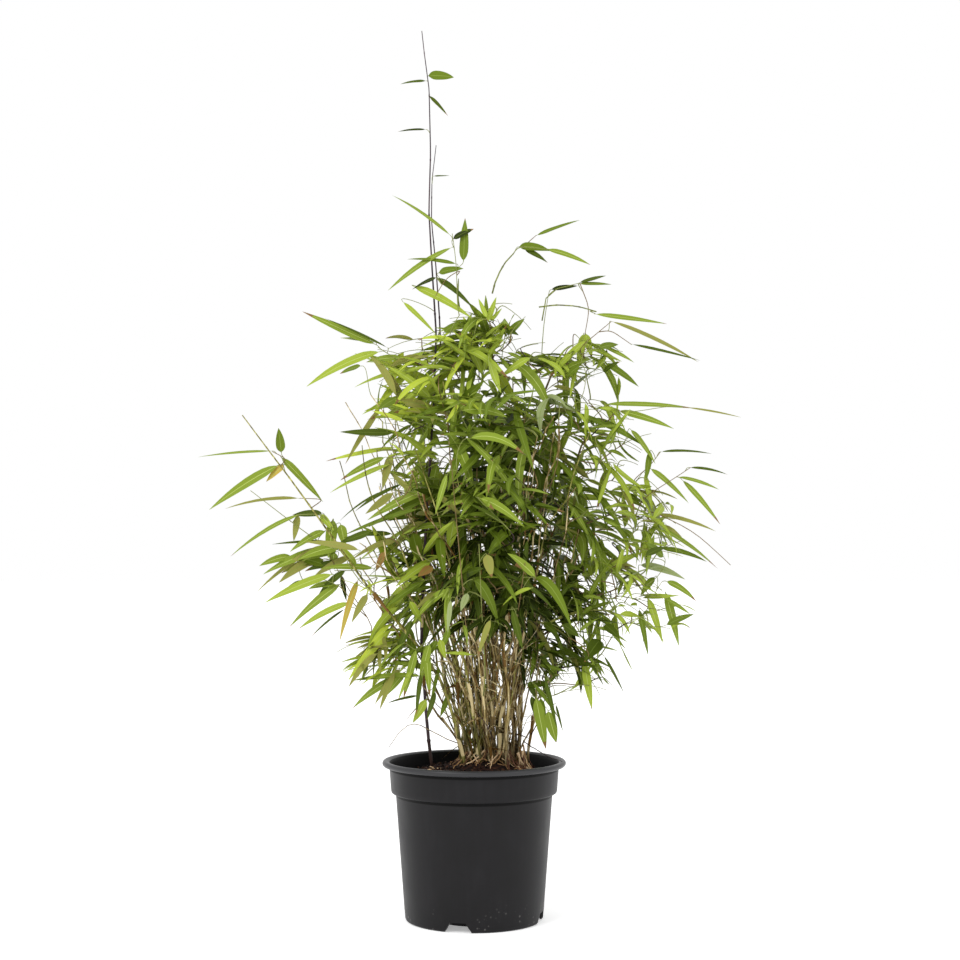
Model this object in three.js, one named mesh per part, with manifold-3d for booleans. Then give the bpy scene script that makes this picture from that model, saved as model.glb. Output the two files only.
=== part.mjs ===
// A potted clump of bamboo: thin culms fan out of the compost in a black nursery pot and
// carry a loose crown of narrow leaves, with one tall dark culm standing clear above it.
// Millimetres, +Z up. The origin is the middle of the pot's flat underside, and the side
// that the plant shows best faces -Y.

import * as THREE from 'three';
import { mergeVertices } from 'three/addons/utils/BufferGeometryUtils.js';
import Module from 'manifold-3d';

const wasm = await Module();
wasm.setup();

// ---- Driving dimensions ----------------------------------------------------------------

const WELD = 1e-4; // corners nearer than this are one
const SEAT_GAP = 0.3; // air left between two pieces that touch
const MASS_GAP = 0.5; // how much wider a mass's hollow is than what it makes room for

const POT_HEIGHT = 161.5;
const LIP_RADIUS = 95;
const LIP_HEIGHT = 6;
const COLLAR_TOP_RADIUS = 86;
const COLLAR_FOOT_RADIUS = 84;
const COLLAR_FOOT_Z = 127;
const COLLAR_ROUNDING = 3; // height over which the collar turns in to the body
const BODY_TOP_RADIUS = 79.5;
const BODY_FOOT_RADIUS = 70.8;
const WALL = 1.8;
const FOOT_ROUNDING = 3;
const PAD_RADIUS = 38; // the flat middle of the underside, which stands on the ground
const CHANNEL_RISE = 10; // the ring round it is raised, so that water drains away
const CHANNEL_SLOPE = 5;
const POT_SEGMENTS = 32;
const SOIL_SEGMENTS = POT_SEGMENTS / 2; // its corners fall on every second corner of the pot

const NOTCH_COUNT = 4; // drainage notches in the foot of the wall
const NOTCH_FOOT_WIDTH = 27;
const NOTCH_TOP_WIDTH = 15;
const NOTCH_HEIGHT = 9;
const NOTCH_DEPTH = 12; // through the wall and its rim, towards the middle
const NOTCH_CLEARANCE = 4; // how far the cutter stands out in front of the wall
const NOTCH_TURN = -11.4; // degrees from the front to the nearest notch

const SOIL_Z = 152; // level of the compost where the culms stand
const SOIL_PLATEAU_RADIUS = 62;
const SOIL_SHOULDER_RADIUS = 70.5; // where the mound's slope ends
const SOIL_SHOULDER_Z = 141;
const SOIL_EDGE_Z = 137; // lowest at the wall

const CULM_SIDES = 6;
const CULM_STEPS = 4;
const CULM_FOOT_RADIUS = 2.1;
const CULM_TIP_RADIUS = 1.3;
const CULM_THINNEST = 0.8; // share of that foot radius in the thinnest culm and the thickest
const CULM_THICKEST = 1.2;

// ---- Shared shapes ---------------------------------------------------------------------

// A repeatable run of numbers from 0 to 1 for each seed.
function seededRandom(seed) {
  let state = seed >>> 0;
  return () => {
    state = (state + 0x6d2b79f5) >>> 0;
    let t = state;
    t = Math.imul(t ^ (t >>> 15), t | 1);
    t ^= t + Math.imul(t ^ (t >>> 7), t | 61);
    return ((t ^ (t >>> 14)) >>> 0) / 4294967296;
  };
}

function toSolid(geometry) {
  const bare = geometry.clone();
  bare.deleteAttribute('normal');
  bare.deleteAttribute('uv');
  const welded = mergeVertices(bare, WELD);
  return new wasm.Manifold(
    new wasm.Mesh({
      numProp: 3,
      vertProperties: new Float32Array(welded.attributes.position.array),
      triVerts: new Uint32Array(welded.index.array),
    }),
  );
}

function toGeometry(solid) {
  const mesh = solid.getMesh();
  const geometry = new THREE.BufferGeometry();
  geometry.setAttribute('position', new THREE.BufferAttribute(mesh.vertProperties, 3));
  geometry.setIndex(new THREE.BufferAttribute(mesh.triVerts, 1));
  geometry.computeVertexNormals();
  return geometry;
}

// A ring or disc turned round the upright axis from [radius, height] points.
function turned(profile, segments) {
  const points = profile.map(([radius, height]) => new THREE.Vector2(radius, height));
  const geometry = new THREE.LatheGeometry(points, segments);
  geometry.rotateX(Math.PI / 2);
  return toSolid(geometry);
}

// Points along part of a circle, from one angle to the other, in degrees.
function arc(centreRadius, centreHeight, radius, from, to, steps) {
  return Array.from({ length: steps + 1 }, (_, i) => {
    const angle = THREE.MathUtils.degToRad(from + ((to - from) * i) / steps);
    return [centreRadius + radius * Math.cos(angle), centreHeight + radius * Math.sin(angle)];
  });
}

// ---- Pot -------------------------------------------------------------------------------

// The inner face of the wall at each height, which the compost fills.
function potInnerRadius(height) {
  const share = height / COLLAR_FOOT_Z;
  const outer = height < COLLAR_FOOT_Z
    ? THREE.MathUtils.lerp(BODY_FOOT_RADIUS, BODY_TOP_RADIUS, share)
    : COLLAR_FOOT_RADIUS;
  return outer - WALL;
}

// One moulded shell: a tapering wall, a wider collar, a rolled lip, and a base whose flat
// middle and rim stand on the ground with a raised drainage ring between them.
function potShell() {
  const lipCentreZ = POT_HEIGHT - LIP_HEIGHT / 2;
  const outside = [
    [0, 0],
    [PAD_RADIUS, 0],
    [PAD_RADIUS + CHANNEL_SLOPE, CHANNEL_RISE],
    [BODY_FOOT_RADIUS - FOOT_ROUNDING - CHANNEL_SLOPE, CHANNEL_RISE],
    [BODY_FOOT_RADIUS - FOOT_ROUNDING, 0],
    ...arc(BODY_FOOT_RADIUS - FOOT_ROUNDING, FOOT_ROUNDING, FOOT_ROUNDING, -45, 0, 1),
    [BODY_TOP_RADIUS, COLLAR_FOOT_Z - COLLAR_ROUNDING],
    [COLLAR_FOOT_RADIUS - COLLAR_ROUNDING / 2, COLLAR_FOOT_Z - COLLAR_ROUNDING / 2],
    [COLLAR_FOOT_RADIUS, COLLAR_FOOT_Z + COLLAR_ROUNDING / 2],
    [COLLAR_TOP_RADIUS, POT_HEIGHT - LIP_HEIGHT],
    ...arc(LIP_RADIUS - LIP_HEIGHT / 2, lipCentreZ, LIP_HEIGHT / 2, -80, 100, 4),
  ];
  const inside = [
    [COLLAR_FOOT_RADIUS - WALL, COLLAR_FOOT_Z + COLLAR_ROUNDING / 2],
    [potInnerRadius(COLLAR_FOOT_Z - COLLAR_ROUNDING), COLLAR_FOOT_Z - COLLAR_ROUNDING],
    [potInnerRadius(CHANNEL_RISE + WALL), CHANNEL_RISE + WALL],
    [PAD_RADIUS + CHANNEL_SLOPE - WALL, CHANNEL_RISE + WALL],
    [PAD_RADIUS - WALL, WALL],
    [0, WALL],
  ];
  return turned([...outside, ...inside], POT_SEGMENTS);
}

// A trapezoid bar that opens one notch through the foot of the wall.
function notchCutter(turn) {
  const shape = new THREE.Shape([
    new THREE.Vector2(-NOTCH_FOOT_WIDTH / 2, -1),
    new THREE.Vector2(NOTCH_FOOT_WIDTH / 2, -1),
    new THREE.Vector2(NOTCH_TOP_WIDTH / 2, NOTCH_HEIGHT),
    new THREE.Vector2(-NOTCH_TOP_WIDTH / 2, NOTCH_HEIGHT),
  ]);
  const geometry = new THREE.ExtrudeGeometry(shape, { depth: NOTCH_DEPTH, bevelEnabled: false });
  geometry.rotateX(Math.PI / 2);
  geometry.translate(0, -(BODY_FOOT_RADIUS - NOTCH_DEPTH + NOTCH_CLEARANCE), 0);
  geometry.rotateZ(THREE.MathUtils.degToRad(turn));
  return toSolid(geometry);
}

function pot() {
  let shell = potShell();
  for (let i = 0; i < NOTCH_COUNT; i += 1) {
    shell = shell.subtract(notchCutter(NOTCH_TURN + (360 * i) / NOTCH_COUNT));
  }
  return shell;
}

// ---- Compost ---------------------------------------------------------------------------

// It fills the pot and is mounded to a level top where the culms stand.
function soil() {
  const floor = CHANNEL_RISE + WALL + SEAT_GAP;
  const middle = WALL + SEAT_GAP;
  const bodyTop = COLLAR_FOOT_Z - COLLAR_ROUNDING;
  const reach = (height) => potInnerRadius(height) - SEAT_GAP;
  return turned(
    [
      [0, middle],
      [PAD_RADIUS - WALL - SEAT_GAP, middle],
      [PAD_RADIUS + CHANNEL_SLOPE - WALL - SEAT_GAP, floor],
      [reach(floor), floor],
      [reach(bodyTop), bodyTop],
      [reach(bodyTop), SOIL_EDGE_Z],
      [SOIL_SHOULDER_RADIUS, SOIL_SHOULDER_Z],
      [SOIL_PLATEAU_RADIUS, SOIL_Z],
      [0, SOIL_Z],
    ],
    SOIL_SEGMENTS,
  );
}

// ---- Culms and stems -------------------------------------------------------------------

// A round limb that tapers along a curve. Its foot, where it has one, is a level cut.
function limb(route, footRadius, tipRadius, steps, levelFoot) {
  const geometry = new THREE.CylinderGeometry(tipRadius, footRadius, 1, CULM_SIDES, steps);
  const frames = route.computeFrenetFrames(steps);
  const position = geometry.attributes.position;
  for (let i = 0; i < position.count; i += 1) {
    const step = Math.round((position.getY(i) + 0.5) * steps);
    const point = route.getPointAt(step / steps);
    const footZ = point.z;
    point.addScaledVector(frames.normals[step], position.getX(i));
    point.addScaledVector(frames.binormals[step], -position.getZ(i));
    if (levelFoot && step === 0) {
      point.z = footZ;
    }
    position.setXYZ(i, point.x, point.y, point.z);
  }
  return toSolid(geometry);
}

function through(points) {
  return new THREE.CatmullRomCurve3(points.map((point) => new THREE.Vector3(...point)));
}

const FOOT_Z = SOIL_Z + SEAT_GAP;

// Stems with a course of their own. Those marked whole run up through the leaves, and the
// others start or end where they enter a mass.
const STEMS = [
  {
    name: 'tall_culm',
    points: [
      [-43, -6, FOOT_Z],
      [-54, -12, 278],
      [-49, -10, 420],
      [-39, -6, 600],
      [-47, -3, 715],
      [-46, -2, 765],
      [-48, 0, 866],
      [-55, 2, 922],
    ],
    radii: [2, 0.5],
    steps: 12,
    whole: true,
    standing: true,
    dark: true,
  },
  {
    name: 'left_leaning_culm',
    points: [
      [-8, -16, FOOT_Z],
      [-28, -22, 234],
      [-57, -30, 283],
      [-93, -34, 324],
      [-138, -32, 384],
      [-180, -26, 441],
      [-241, -16, 521],
    ],
    radii: [2, 0.6],
    steps: 10,
    whole: true,
    standing: true,
  },
  {
    name: 'tall_side_shoot',
    points: [[-35, 8, 590], [-41, 6, 680], [-45.5, 4, 738], [-39, 4, 805]],
    radii: [1, 0.4],
    steps: 5,
    whole: true,
    dark: true,
  },
  {
    name: 'tuft_stem',
    points: [[-14, -2, 590], [-16, -12, 645], [-18, -18, 690], [-26, -18, 708]],
    radii: [1.1, 0.7],
    steps: 4,
  },
  {
    name: 'arching_stem',
    points: [[16, 6, 610], [18, 6, 640], [26, 7, 668], [46, 8, 691], [60, 8, 691]],
    radii: [1.1, 0.7],
    steps: 6,
  },
  {
    name: 'high_right_stem',
    points: [[66, 16, 560], [70, 18, 611], [78, 20, 648], [90, 20, 654]],
    radii: [1.1, 0.6],
    steps: 5,
  },
  {
    name: 'shoulder_stem',
    points: [[36, -8, 612], [58, -10, 627], [92, -10, 630], [122, -8, 626], [140, -8, 618]],
    radii: [1, 0.6],
    steps: 6,
  },
];

// The clump: culms stand on an oval patch, evenly spread, and fan outwards from its middle.
const CLUMP_X = 19;
const CLUMP_Y = 8;
const CLUMP_HALF_WIDTH = 37;
const CLUMP_HALF_DEPTH = 27;
const CLUMP_CULMS = 14;
const CLUMP_SEED = 7;
const CLUMP_RISE = 250; // from the compost to well inside the crown
const FAN = 2.6; // how many times wider the clump is at that height
const FAN_SPREAD = 0.25; // and how much that varies from culm to culm
const CLUMP_LEAN = -20; // how far the whole clump leans to the left there
const BOW = 0.35; // share of the lean at the curve's middle handle: under a half bows outwards
const GOLDEN_ANGLE = Math.PI * (3 - Math.sqrt(5));

function clumpRoute(index, random) {
  const reach = Math.sqrt((index + 0.5) / CLUMP_CULMS);
  const angle = index * GOLDEN_ANGLE;
  const outX = CLUMP_HALF_WIDTH * reach * Math.cos(angle);
  const outY = CLUMP_HALF_DEPTH * reach * Math.sin(angle);
  const foot = new THREE.Vector3(CLUMP_X + outX, CLUMP_Y + outY, FOOT_Z);
  const fan = FAN - 1 + FAN_SPREAD * (random() - 0.5);
  const lean = new THREE.Vector3(outX * fan + CLUMP_LEAN, outY * fan, CLUMP_RISE);
  const middle = foot.clone().add(new THREE.Vector3(lean.x * BOW, lean.y * BOW, CLUMP_RISE / 2));
  return new THREE.QuadraticBezierCurve3(foot, middle, foot.clone().add(lean));
}

// ---- Foliage ---------------------------------------------------------------------------

// Each mass is an uneven lump. size is its length, width and height. Its length points
// along heading (degrees, 0 to the right, 90 to the back), its far end is raised by rise
// degrees, and the far half hangs by droop millimetres.
const MASSES = [
  { name: 'crown_top', at: [20, 4, 600], size: [112, 96, 84] },
  { name: 'crown_top_left', at: [-50, -2, 576], size: [128, 92, 74], heading: 180, droop: 8 },
  { name: 'crown_top_right', at: [98, 6, 572], size: [124, 96, 74], droop: 8 },
  { name: 'upper_left', at: [-58, -14, 510], size: [112, 110, 84], heading: 180, droop: 10 },
  { name: 'upper_front', at: [18, -74, 514], size: [96, 112, 92], heading: -90, droop: 12 },
  { name: 'upper_back', at: [30, 80, 520], size: [112, 124, 108], heading: 90, droop: 12, small: true },
  { name: 'upper_right', at: [124, 2, 500], size: [132, 118, 90], droop: 12 },
  { name: 'middle_left', at: [-56, 2, 434], size: [100, 112, 88], heading: 180, droop: 8 },
  { name: 'middle_front', at: [18, -92, 426], size: [100, 118, 96], heading: -90, droop: 12 },
  {
    name: 'middle_back_left', at: [-32, 98, 432], size: [112, 106, 100],
    heading: 115, droop: 12, small: true,
  },
  {
    name: 'middle_back_right', at: [88, 98, 424], size: [118, 110, 100],
    heading: 60, droop: 12, small: true,
  },
  { name: 'middle_right', at: [146, -6, 418], size: [138, 120, 88], droop: 12 },
  { name: 'lower_left', at: [-78, 0, 354], size: [128, 116, 88], heading: 180, droop: 12 },
  { name: 'lower_front', at: [22, -88, 342], size: [98, 128, 84], heading: -90, droop: 14 },
  { name: 'lower_middle', at: [24, 8, 350], size: [108, 94, 106], small: true },
  { name: 'lower_back', at: [34, 100, 346], size: [112, 152, 94], heading: 90, droop: 12, small: true },
  { name: 'lower_right', at: [142, 2, 336], size: [144, 124, 90], droop: 14 },
  { name: 'left_skirt', at: [-98, -8, 278], size: [96, 78, 60], heading: 190, droop: 14, small: true },
  { name: 'right_skirt', at: [104, -6, 262], size: [106, 82, 66], heading: -8, droop: 16, small: true },
  { name: 'back_skirt', at: [40, 112, 276], size: [84, 90, 60], heading: 80, droop: 14, small: true },
  { name: 'left_spray_high', at: [-222, -14, 460], size: [138, 20, 88], heading: 180, small: true },
  {
    name: 'left_spray_middle', at: [-192, -22, 402], size: [132, 22, 58],
    heading: 180, rise: -10, small: true,
  },
  { name: 'left_spray_low', at: [-156, -18, 334], size: [140, 44, 84], heading: 180, rise: -12, small: true },
  { name: 'left_shoulder', at: [-130, -6, 586], size: [98, 26, 74], heading: 180, small: true },
  {
    name: 'left_middle_leaves', at: [-116, -18, 474], size: [90, 34, 80],
    heading: 180, rise: -8, small: true,
  },
  { name: 'left_low_leaves', at: [-106, -22, 240], size: [80, 26, 62], heading: 180, rise: -30, small: true },
  { name: 'tuft', at: [-42, -19, 692], size: [98, 18, 106], heading: 180, small: true },
  { name: 'tip_leaves', at: [-50, 0, 846], size: [62, 14, 66], small: true },
  { name: 'arching_leaves', at: [82, 8, 694], size: [84, 16, 54], rise: 12, small: true },
  { name: 'high_right_leaves', at: [108, 20, 658], size: [60, 16, 28], small: true },
  { name: 'right_shoulder', at: [176, -4, 600], size: [124, 24, 62], rise: -16, small: true },
  { name: 'right_long_leaves', at: [206, -8, 520], size: [140, 18, 40], small: true },
  { name: 'right_side_leaves', at: [222, -14, 442], size: [86, 24, 94], rise: -20, small: true },
  { name: 'right_low_leaves', at: [208, -12, 346], size: [96, 34, 116], rise: -20, small: true },
  { name: 'right_hanging_leaves', at: [74, -20, 212], size: [26, 14, 86], small: true },
  { name: 'back_spray_left', at: [-66, 160, 452], size: [110, 30, 72], heading: 120, rise: -8, small: true },
  { name: 'back_spray_right', at: [110, 168, 400], size: [120, 32, 76], heading: 65, rise: -10, small: true },
];
const UNEVENNESS = 0.16;
const WAVES = 5;
const WIDEST_WAVE = 2; // radians from side to side of a mass of half width 1
const TIGHTEST_WAVE = 5;
const LUMP_DETAIL = 2; // facets across a side of a big mass, and of a small or thin one
const SMALL_DETAIL = 1;

// How far a lump bulges in each direction: a few waves laid across it at random.
function bulge(random) {
  const waves = Array.from({ length: WAVES }, () => ({
    across: new THREE.Vector3(random() - 0.5, random() - 0.5, random() - 0.5).normalize(),
    tightness: THREE.MathUtils.lerp(WIDEST_WAVE, TIGHTEST_WAVE, random()),
    phase: 2 * Math.PI * random(),
  }));
  return (direction) => {
    const heights = waves.map((w) => Math.sin(w.tightness * direction.dot(w.across) + w.phase));
    return 1 + (UNEVENNESS * heights.reduce((sum, h) => sum + h, 0)) / Math.sqrt(WAVES);
  };
}

function foliage({ at, size, heading = 0, rise = 0, droop = 0, small = false }, seed, grow) {
  const geometry = new THREE.IcosahedronGeometry(1, small ? SMALL_DETAIL : LUMP_DETAIL);
  const swell = bulge(seededRandom(seed));
  const position = geometry.attributes.position;
  const point = new THREE.Vector3();
  for (let i = 0; i < position.count; i += 1) {
    point.fromBufferAttribute(position, i);
    point.multiplyScalar(swell(point));
    const hang = droop * Math.max(0, point.x) ** 2;
    point.set(
      point.x * (size[0] / 2 + grow),
      point.y * (size[1] / 2 + grow),
      point.z * (size[2] / 2 + grow) - hang,
    );
    position.setXYZ(i, point.x, point.y, point.z);
  }
  geometry.rotateY(-THREE.MathUtils.degToRad(rise));
  geometry.rotateZ(THREE.MathUtils.degToRad(heading));
  geometry.translate(...at);
  return toSolid(geometry);
}

// ---- Cutting pieces clear of each other ------------------------------------------------

// The part of a cut solid that stays: the one that prefer ranks highest.
function keepOne(solid, prefer) {
  const pieces = solid.decompose();
  return pieces.reduce((best, piece) => (prefer(piece) > prefer(best) ? piece : best));
}

const largest = (piece) => piece.volume();
const lowest = (piece) => -piece.boundingBox().min[2];

function touches(a, b) {
  const boxA = a.boundingBox();
  const boxB = b.boundingBox();
  return [0, 1, 2].every((k) => boxA.min[k] < boxB.max[k] && boxB.min[k] < boxA.max[k]);
}

function cutClear(solid, blockers, prefer) {
  const cut = blockers
    .filter((blocker) => touches(solid, blocker))
    .reduce((left, blocker) => left.subtract(blocker), solid);
  return keepOne(cut, prefer);
}

// ---- Assembly --------------------------------------------------------------------------

const MATERIALS = {
  pot: new THREE.MeshStandardMaterial({ color: 0x2e2e30, roughness: 0.55, metalness: 0 }),
  soil: new THREE.MeshStandardMaterial({ color: 0x3a241b, roughness: 0.95, metalness: 0 }),
  darkCulm: new THREE.MeshStandardMaterial({ color: 0x33252b, roughness: 0.5, metalness: 0 }),
  culm: new THREE.MeshStandardMaterial({ color: 0x9a8a55, roughness: 0.6, metalness: 0 }),
  leaves: new THREE.MeshStandardMaterial({ color: 0x64852f, roughness: 0.6, metalness: 0 }),
};

const plant = new THREE.Group();

function add(name, solid, material) {
  const mesh = new THREE.Mesh(toGeometry(solid), material);
  mesh.name = name;
  plant.add(mesh);
}

function stemSolid({ points, radii, steps, standing }, grow) {
  return limb(through(points), radii[0] + grow, radii[1] + grow, steps, standing);
}

add('pot', pot(), MATERIALS.pot);
add('soil', soil(), MATERIALS.soil);

const wholeStems = STEMS.filter((stem) => stem.whole);
const partStems = STEMS.filter((stem) => !stem.whole);

// Masses come in order: each is cut clear of the whole stems and of the masses before it.
const roomForStems = wholeStems.map((stem) => stemSolid(stem, MASS_GAP));
const roomForMasses = MASSES.map((mass, index) => foliage(mass, index + 1, MASS_GAP));
MASSES.forEach((mass, index) => {
  const blockers = [...roomForStems, ...roomForMasses.slice(0, index)];
  const solid = cutClear(foliage(mass, index + 1, 0), blockers, largest);
  add(mass.name, solid, MATERIALS.leaves);
});

wholeStems.forEach((stem) => {
  add(stem.name, stemSolid(stem, 0), stem.dark ? MATERIALS.darkCulm : MATERIALS.culm);
});

partStems.forEach((stem) => {
  add(stem.name, cutClear(stemSolid(stem, 0), roomForMasses, largest), MATERIALS.culm);
});

const clumpRandom = seededRandom(CLUMP_SEED);
for (let i = 0; i < CLUMP_CULMS; i += 1) {
  const route = clumpRoute(i, clumpRandom);
  const thickness = THREE.MathUtils.lerp(CULM_THINNEST, CULM_THICKEST, clumpRandom());
  const whole = limb(route, CULM_FOOT_RADIUS * thickness, CULM_TIP_RADIUS, CULM_STEPS, true);
  const name = `culm_${String(i + 1).padStart(2, '0')}`;
  add(name, cutClear(whole, roomForMasses, lowest), MATERIALS.culm);
}

export default plant;
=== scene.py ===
# A potted clump of bamboo in its black nursery pot: thin culms fan out of the compost and carry
# a loose crown of narrow leaves, with one tall dark culm standing clear above it.
# Metres, +Z up. The side that the plant shows best faces -Y.

import math

import bpy
import numpy as np
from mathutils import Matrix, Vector, noise
from mathutils.bvhtree import BVHTree


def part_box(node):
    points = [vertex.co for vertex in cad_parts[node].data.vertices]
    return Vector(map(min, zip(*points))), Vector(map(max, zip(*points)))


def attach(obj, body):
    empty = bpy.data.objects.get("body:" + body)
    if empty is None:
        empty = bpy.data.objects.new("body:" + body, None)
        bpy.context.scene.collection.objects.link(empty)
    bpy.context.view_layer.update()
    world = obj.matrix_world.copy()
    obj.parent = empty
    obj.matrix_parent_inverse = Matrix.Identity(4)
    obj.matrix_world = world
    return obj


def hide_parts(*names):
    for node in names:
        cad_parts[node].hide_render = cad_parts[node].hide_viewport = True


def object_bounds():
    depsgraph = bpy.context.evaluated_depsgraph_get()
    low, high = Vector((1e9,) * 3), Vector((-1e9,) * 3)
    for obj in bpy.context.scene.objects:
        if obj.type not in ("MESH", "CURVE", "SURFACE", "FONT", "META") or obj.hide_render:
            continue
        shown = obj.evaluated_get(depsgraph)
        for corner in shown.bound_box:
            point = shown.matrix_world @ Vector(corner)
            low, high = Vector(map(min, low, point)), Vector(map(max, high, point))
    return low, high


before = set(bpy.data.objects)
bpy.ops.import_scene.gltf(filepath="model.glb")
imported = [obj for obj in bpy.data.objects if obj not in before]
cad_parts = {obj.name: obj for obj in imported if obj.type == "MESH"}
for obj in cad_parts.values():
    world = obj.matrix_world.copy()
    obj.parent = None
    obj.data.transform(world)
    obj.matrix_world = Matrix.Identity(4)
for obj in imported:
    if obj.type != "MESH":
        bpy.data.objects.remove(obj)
cad_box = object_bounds()
MM = 0.001


# ---- Pot -------------------------------------------------------------------------------------
# The nursery pot is one thin shell of charcoal polypropylene, injection moulded: a tapering
# wall, a wider collar, a rolled lip to carry it by, and a foot rim with four drainage notches.

LIP_RADIUS, LIP_ROLL = 94.4, 3  # millimetres, as all the sizes of the profile
LIP_TOP = 162.8
COLLAR_TOP_RADIUS, COLLAR_FOOT_RADIUS, COLLAR_FOOT = 87.2, 85.3, 130.5
WALL_TOP_RADIUS, WALL_FOOT_RADIUS = 80.7, 70.8
WALL = 1.8
FOOT_ROUNDING = 3
RIM_INNER_RADIUS = 62.8
CHANNEL_RISE = 10  # the drainage ring under the base
PAD_RADIUS = 38
NOTCH_TURNS = [math.radians(-103.4 + 90 * k) for k in range(4)]
NOTCH_HALF_FOOT, NOTCH_HALF_TOP, NOTCH_HEIGHT = 14.3, 8, 10
POT_SIDES = 180


def linear(hex_colour):
    """An sRGB hex colour as linear light."""
    channels = [int(hex_colour[i : i + 2], 16) / 255 for i in (1, 3, 5)]
    return (*(c / 12.92 if c <= 0.04045 else ((c + 0.055) / 1.055) ** 2.4 for c in channels), 1.0)


def add_node(tree, kind, settings=None, links=None):
    """Adds a shader node with its settings and with its inputs linked to other nodes' outputs."""
    node = tree.nodes.new(kind)
    for key, value in (settings or {}).items():
        if isinstance(key, int) or key in node.inputs:
            node.inputs[key].default_value = value
        else:
            setattr(node, key, value)
    for key, output in (links or {}).items():
        tree.links.new(output, node.inputs[key])
    return node


def new_material(name, colour, roughness, ior, specular):
    """A material of one Principled shader, with its node tree and shader to build on."""
    material = bpy.data.materials.new(name)
    material.use_nodes = True
    tree = material.node_tree
    shader = tree.nodes["Principled BSDF"]
    shader.inputs["Base Color"].default_value = linear(colour)
    shader.inputs["Roughness"].default_value = roughness
    shader.inputs["IOR"].default_value = ior
    shader.inputs["Specular IOR Level"].default_value = specular
    return material, tree, shader


def object_place(tree):
    """Where a point lies on the piece, in metres."""
    return add_node(tree, "ShaderNodeTexCoord").outputs["Object"]


def stretched(tree, place, scale):
    """The same place drawn out, so that a pattern on it runs in streaks."""
    return add_node(tree, "ShaderNodeMapping", {"Scale": scale}, {"Vector": place}).outputs["Vector"]


def noise_pattern(tree, place, size, detail):
    """Soft uneven patches of about size millimetres."""
    settings = {"Scale": 1 / (size * MM), "Detail": detail}
    return add_node(tree, "ShaderNodeTexNoise", settings, {"Vector": place}).outputs["Fac"]


def remapped(tree, value, source, target):
    """A value carried from the source range to the target range, and held inside it."""
    names = ("From Min", "From Max", "To Min", "To Max")
    settings = dict(zip(names, (*source, *target)))
    return add_node(tree, "ShaderNodeMapRange", settings, {"Value": value}).outputs[0]


def overlaid(tree, amount, colour, over):
    """A colour with a plain hex colour laid over it by amount."""
    settings = {"data_type": "RGBA", 7: linear(over)}
    return add_node(tree, "ShaderNodeMix", settings, {0: amount, 6: colour}).outputs[2]


def add_relief(tree, shader, height, strength, depth):
    """Fine relief, depth millimetres deep."""
    settings = {"Strength": strength, "Distance": depth * MM}
    bump = add_node(tree, "ShaderNodeBump", settings, {"Height": height})
    tree.links.new(bump.outputs["Normal"], shader.inputs["Normal"])


def colour_ramp(tree, factor, stops):
    """A ramp through (place, hex colour) stops, fed by factor."""
    ramp = add_node(tree, "ShaderNodeValToRGB", links={"Fac": factor})
    elements = ramp.color_ramp.elements
    while len(elements) < len(stops):
        elements.new(0.5)
    for element, (place, colour) in zip(elements, stops):
        element.position = place
        element.color = linear(colour)
    return ramp.outputs["Color"]


def make_piece(name, points, faces, materials, face_slots=None, sharp_angle=None):
    """A smooth-shaded mesh object in the row frame, riding on the one body."""
    mesh = bpy.data.meshes.new(name)
    mesh.from_pydata(points, [], faces)
    for material in materials:
        mesh.materials.append(material)
    if face_slots is not None:
        mesh.polygons.foreach_set("material_index", face_slots)
    mesh.shade_smooth()
    if sharp_angle:
        mesh.set_sharp_from_angle(angle=math.radians(sharp_angle))
    mesh.validate()
    mesh.update()
    piece = bpy.data.objects.new(name, mesh)
    bpy.context.scene.collection.objects.link(piece)
    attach(piece, "root")
    return piece


def arc(centre_radius, centre_height, radius, start, end, steps):
    """Points along part of a circle, from one angle to the other, in degrees."""
    angles = np.radians(np.linspace(start, end, steps + 1))
    return [
        (centre_radius + radius * math.cos(a), centre_height + radius * math.sin(a)) for a in angles
    ]


def notch_height(turn):
    """How high the foot rim is cut away at an angle round the pot."""
    height = 0
    for notch in NOTCH_TURNS:
        off = abs((turn - notch + math.pi) % (2 * math.pi) - math.pi)
        if off < math.pi / 6:
            across = WALL_FOOT_RADIUS * math.sin(off)
            share = (NOTCH_HALF_FOOT - across) / (NOTCH_HALF_FOOT - NOTCH_HALF_TOP)
            height = max(height, NOTCH_HEIGHT * min(max(share, 0), 1))
    return height


pot_profile = [(0, 0), (PAD_RADIUS, 0), (PAD_RADIUS + 5, CHANNEL_RISE)]
rim_start = len(pot_profile)
pot_profile += [
    (RIM_INNER_RADIUS, CHANNEL_RISE),
    (RIM_INNER_RADIUS + 4.2, 1.2),
    (RIM_INNER_RADIUS + 5, 0),
    *arc(WALL_FOOT_RADIUS - FOOT_ROUNDING, FOOT_ROUNDING, FOOT_ROUNDING, -75, 0, 5),
]
rim_end = len(pot_profile)
pot_profile += [
    (WALL_FOOT_RADIUS + (WALL_TOP_RADIUS - WALL_FOOT_RADIUS) * z / COLLAR_FOOT, z)
    for z in (12, 30, 60, 90, 118, COLLAR_FOOT - 4)
]
# The wall under the collar's edge and under the lip gets painted shade: a dark line under each.
under_collar = len(pot_profile) - 1  # dark lines run beneath the collar's edge and the lip
pot_profile += [
    (WALL_TOP_RADIUS + 0.1, COLLAR_FOOT - 1.6),
    (WALL_TOP_RADIUS + 0.7, COLLAR_FOOT - 1),
    (COLLAR_FOOT_RADIUS - 1.4, COLLAR_FOOT - 0.7),
]
collar_start = len(pot_profile) - 1
pot_profile += [
    (COLLAR_FOOT_RADIUS - 0.4, COLLAR_FOOT),
    (COLLAR_FOOT_RADIUS, COLLAR_FOOT + 1.2),
    (COLLAR_FOOT_RADIUS + 0.3, COLLAR_FOOT + 4),
    (COLLAR_TOP_RADIUS - 0.2, LIP_TOP - 9.4),
]
under_lip = len(pot_profile) - 1
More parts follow.
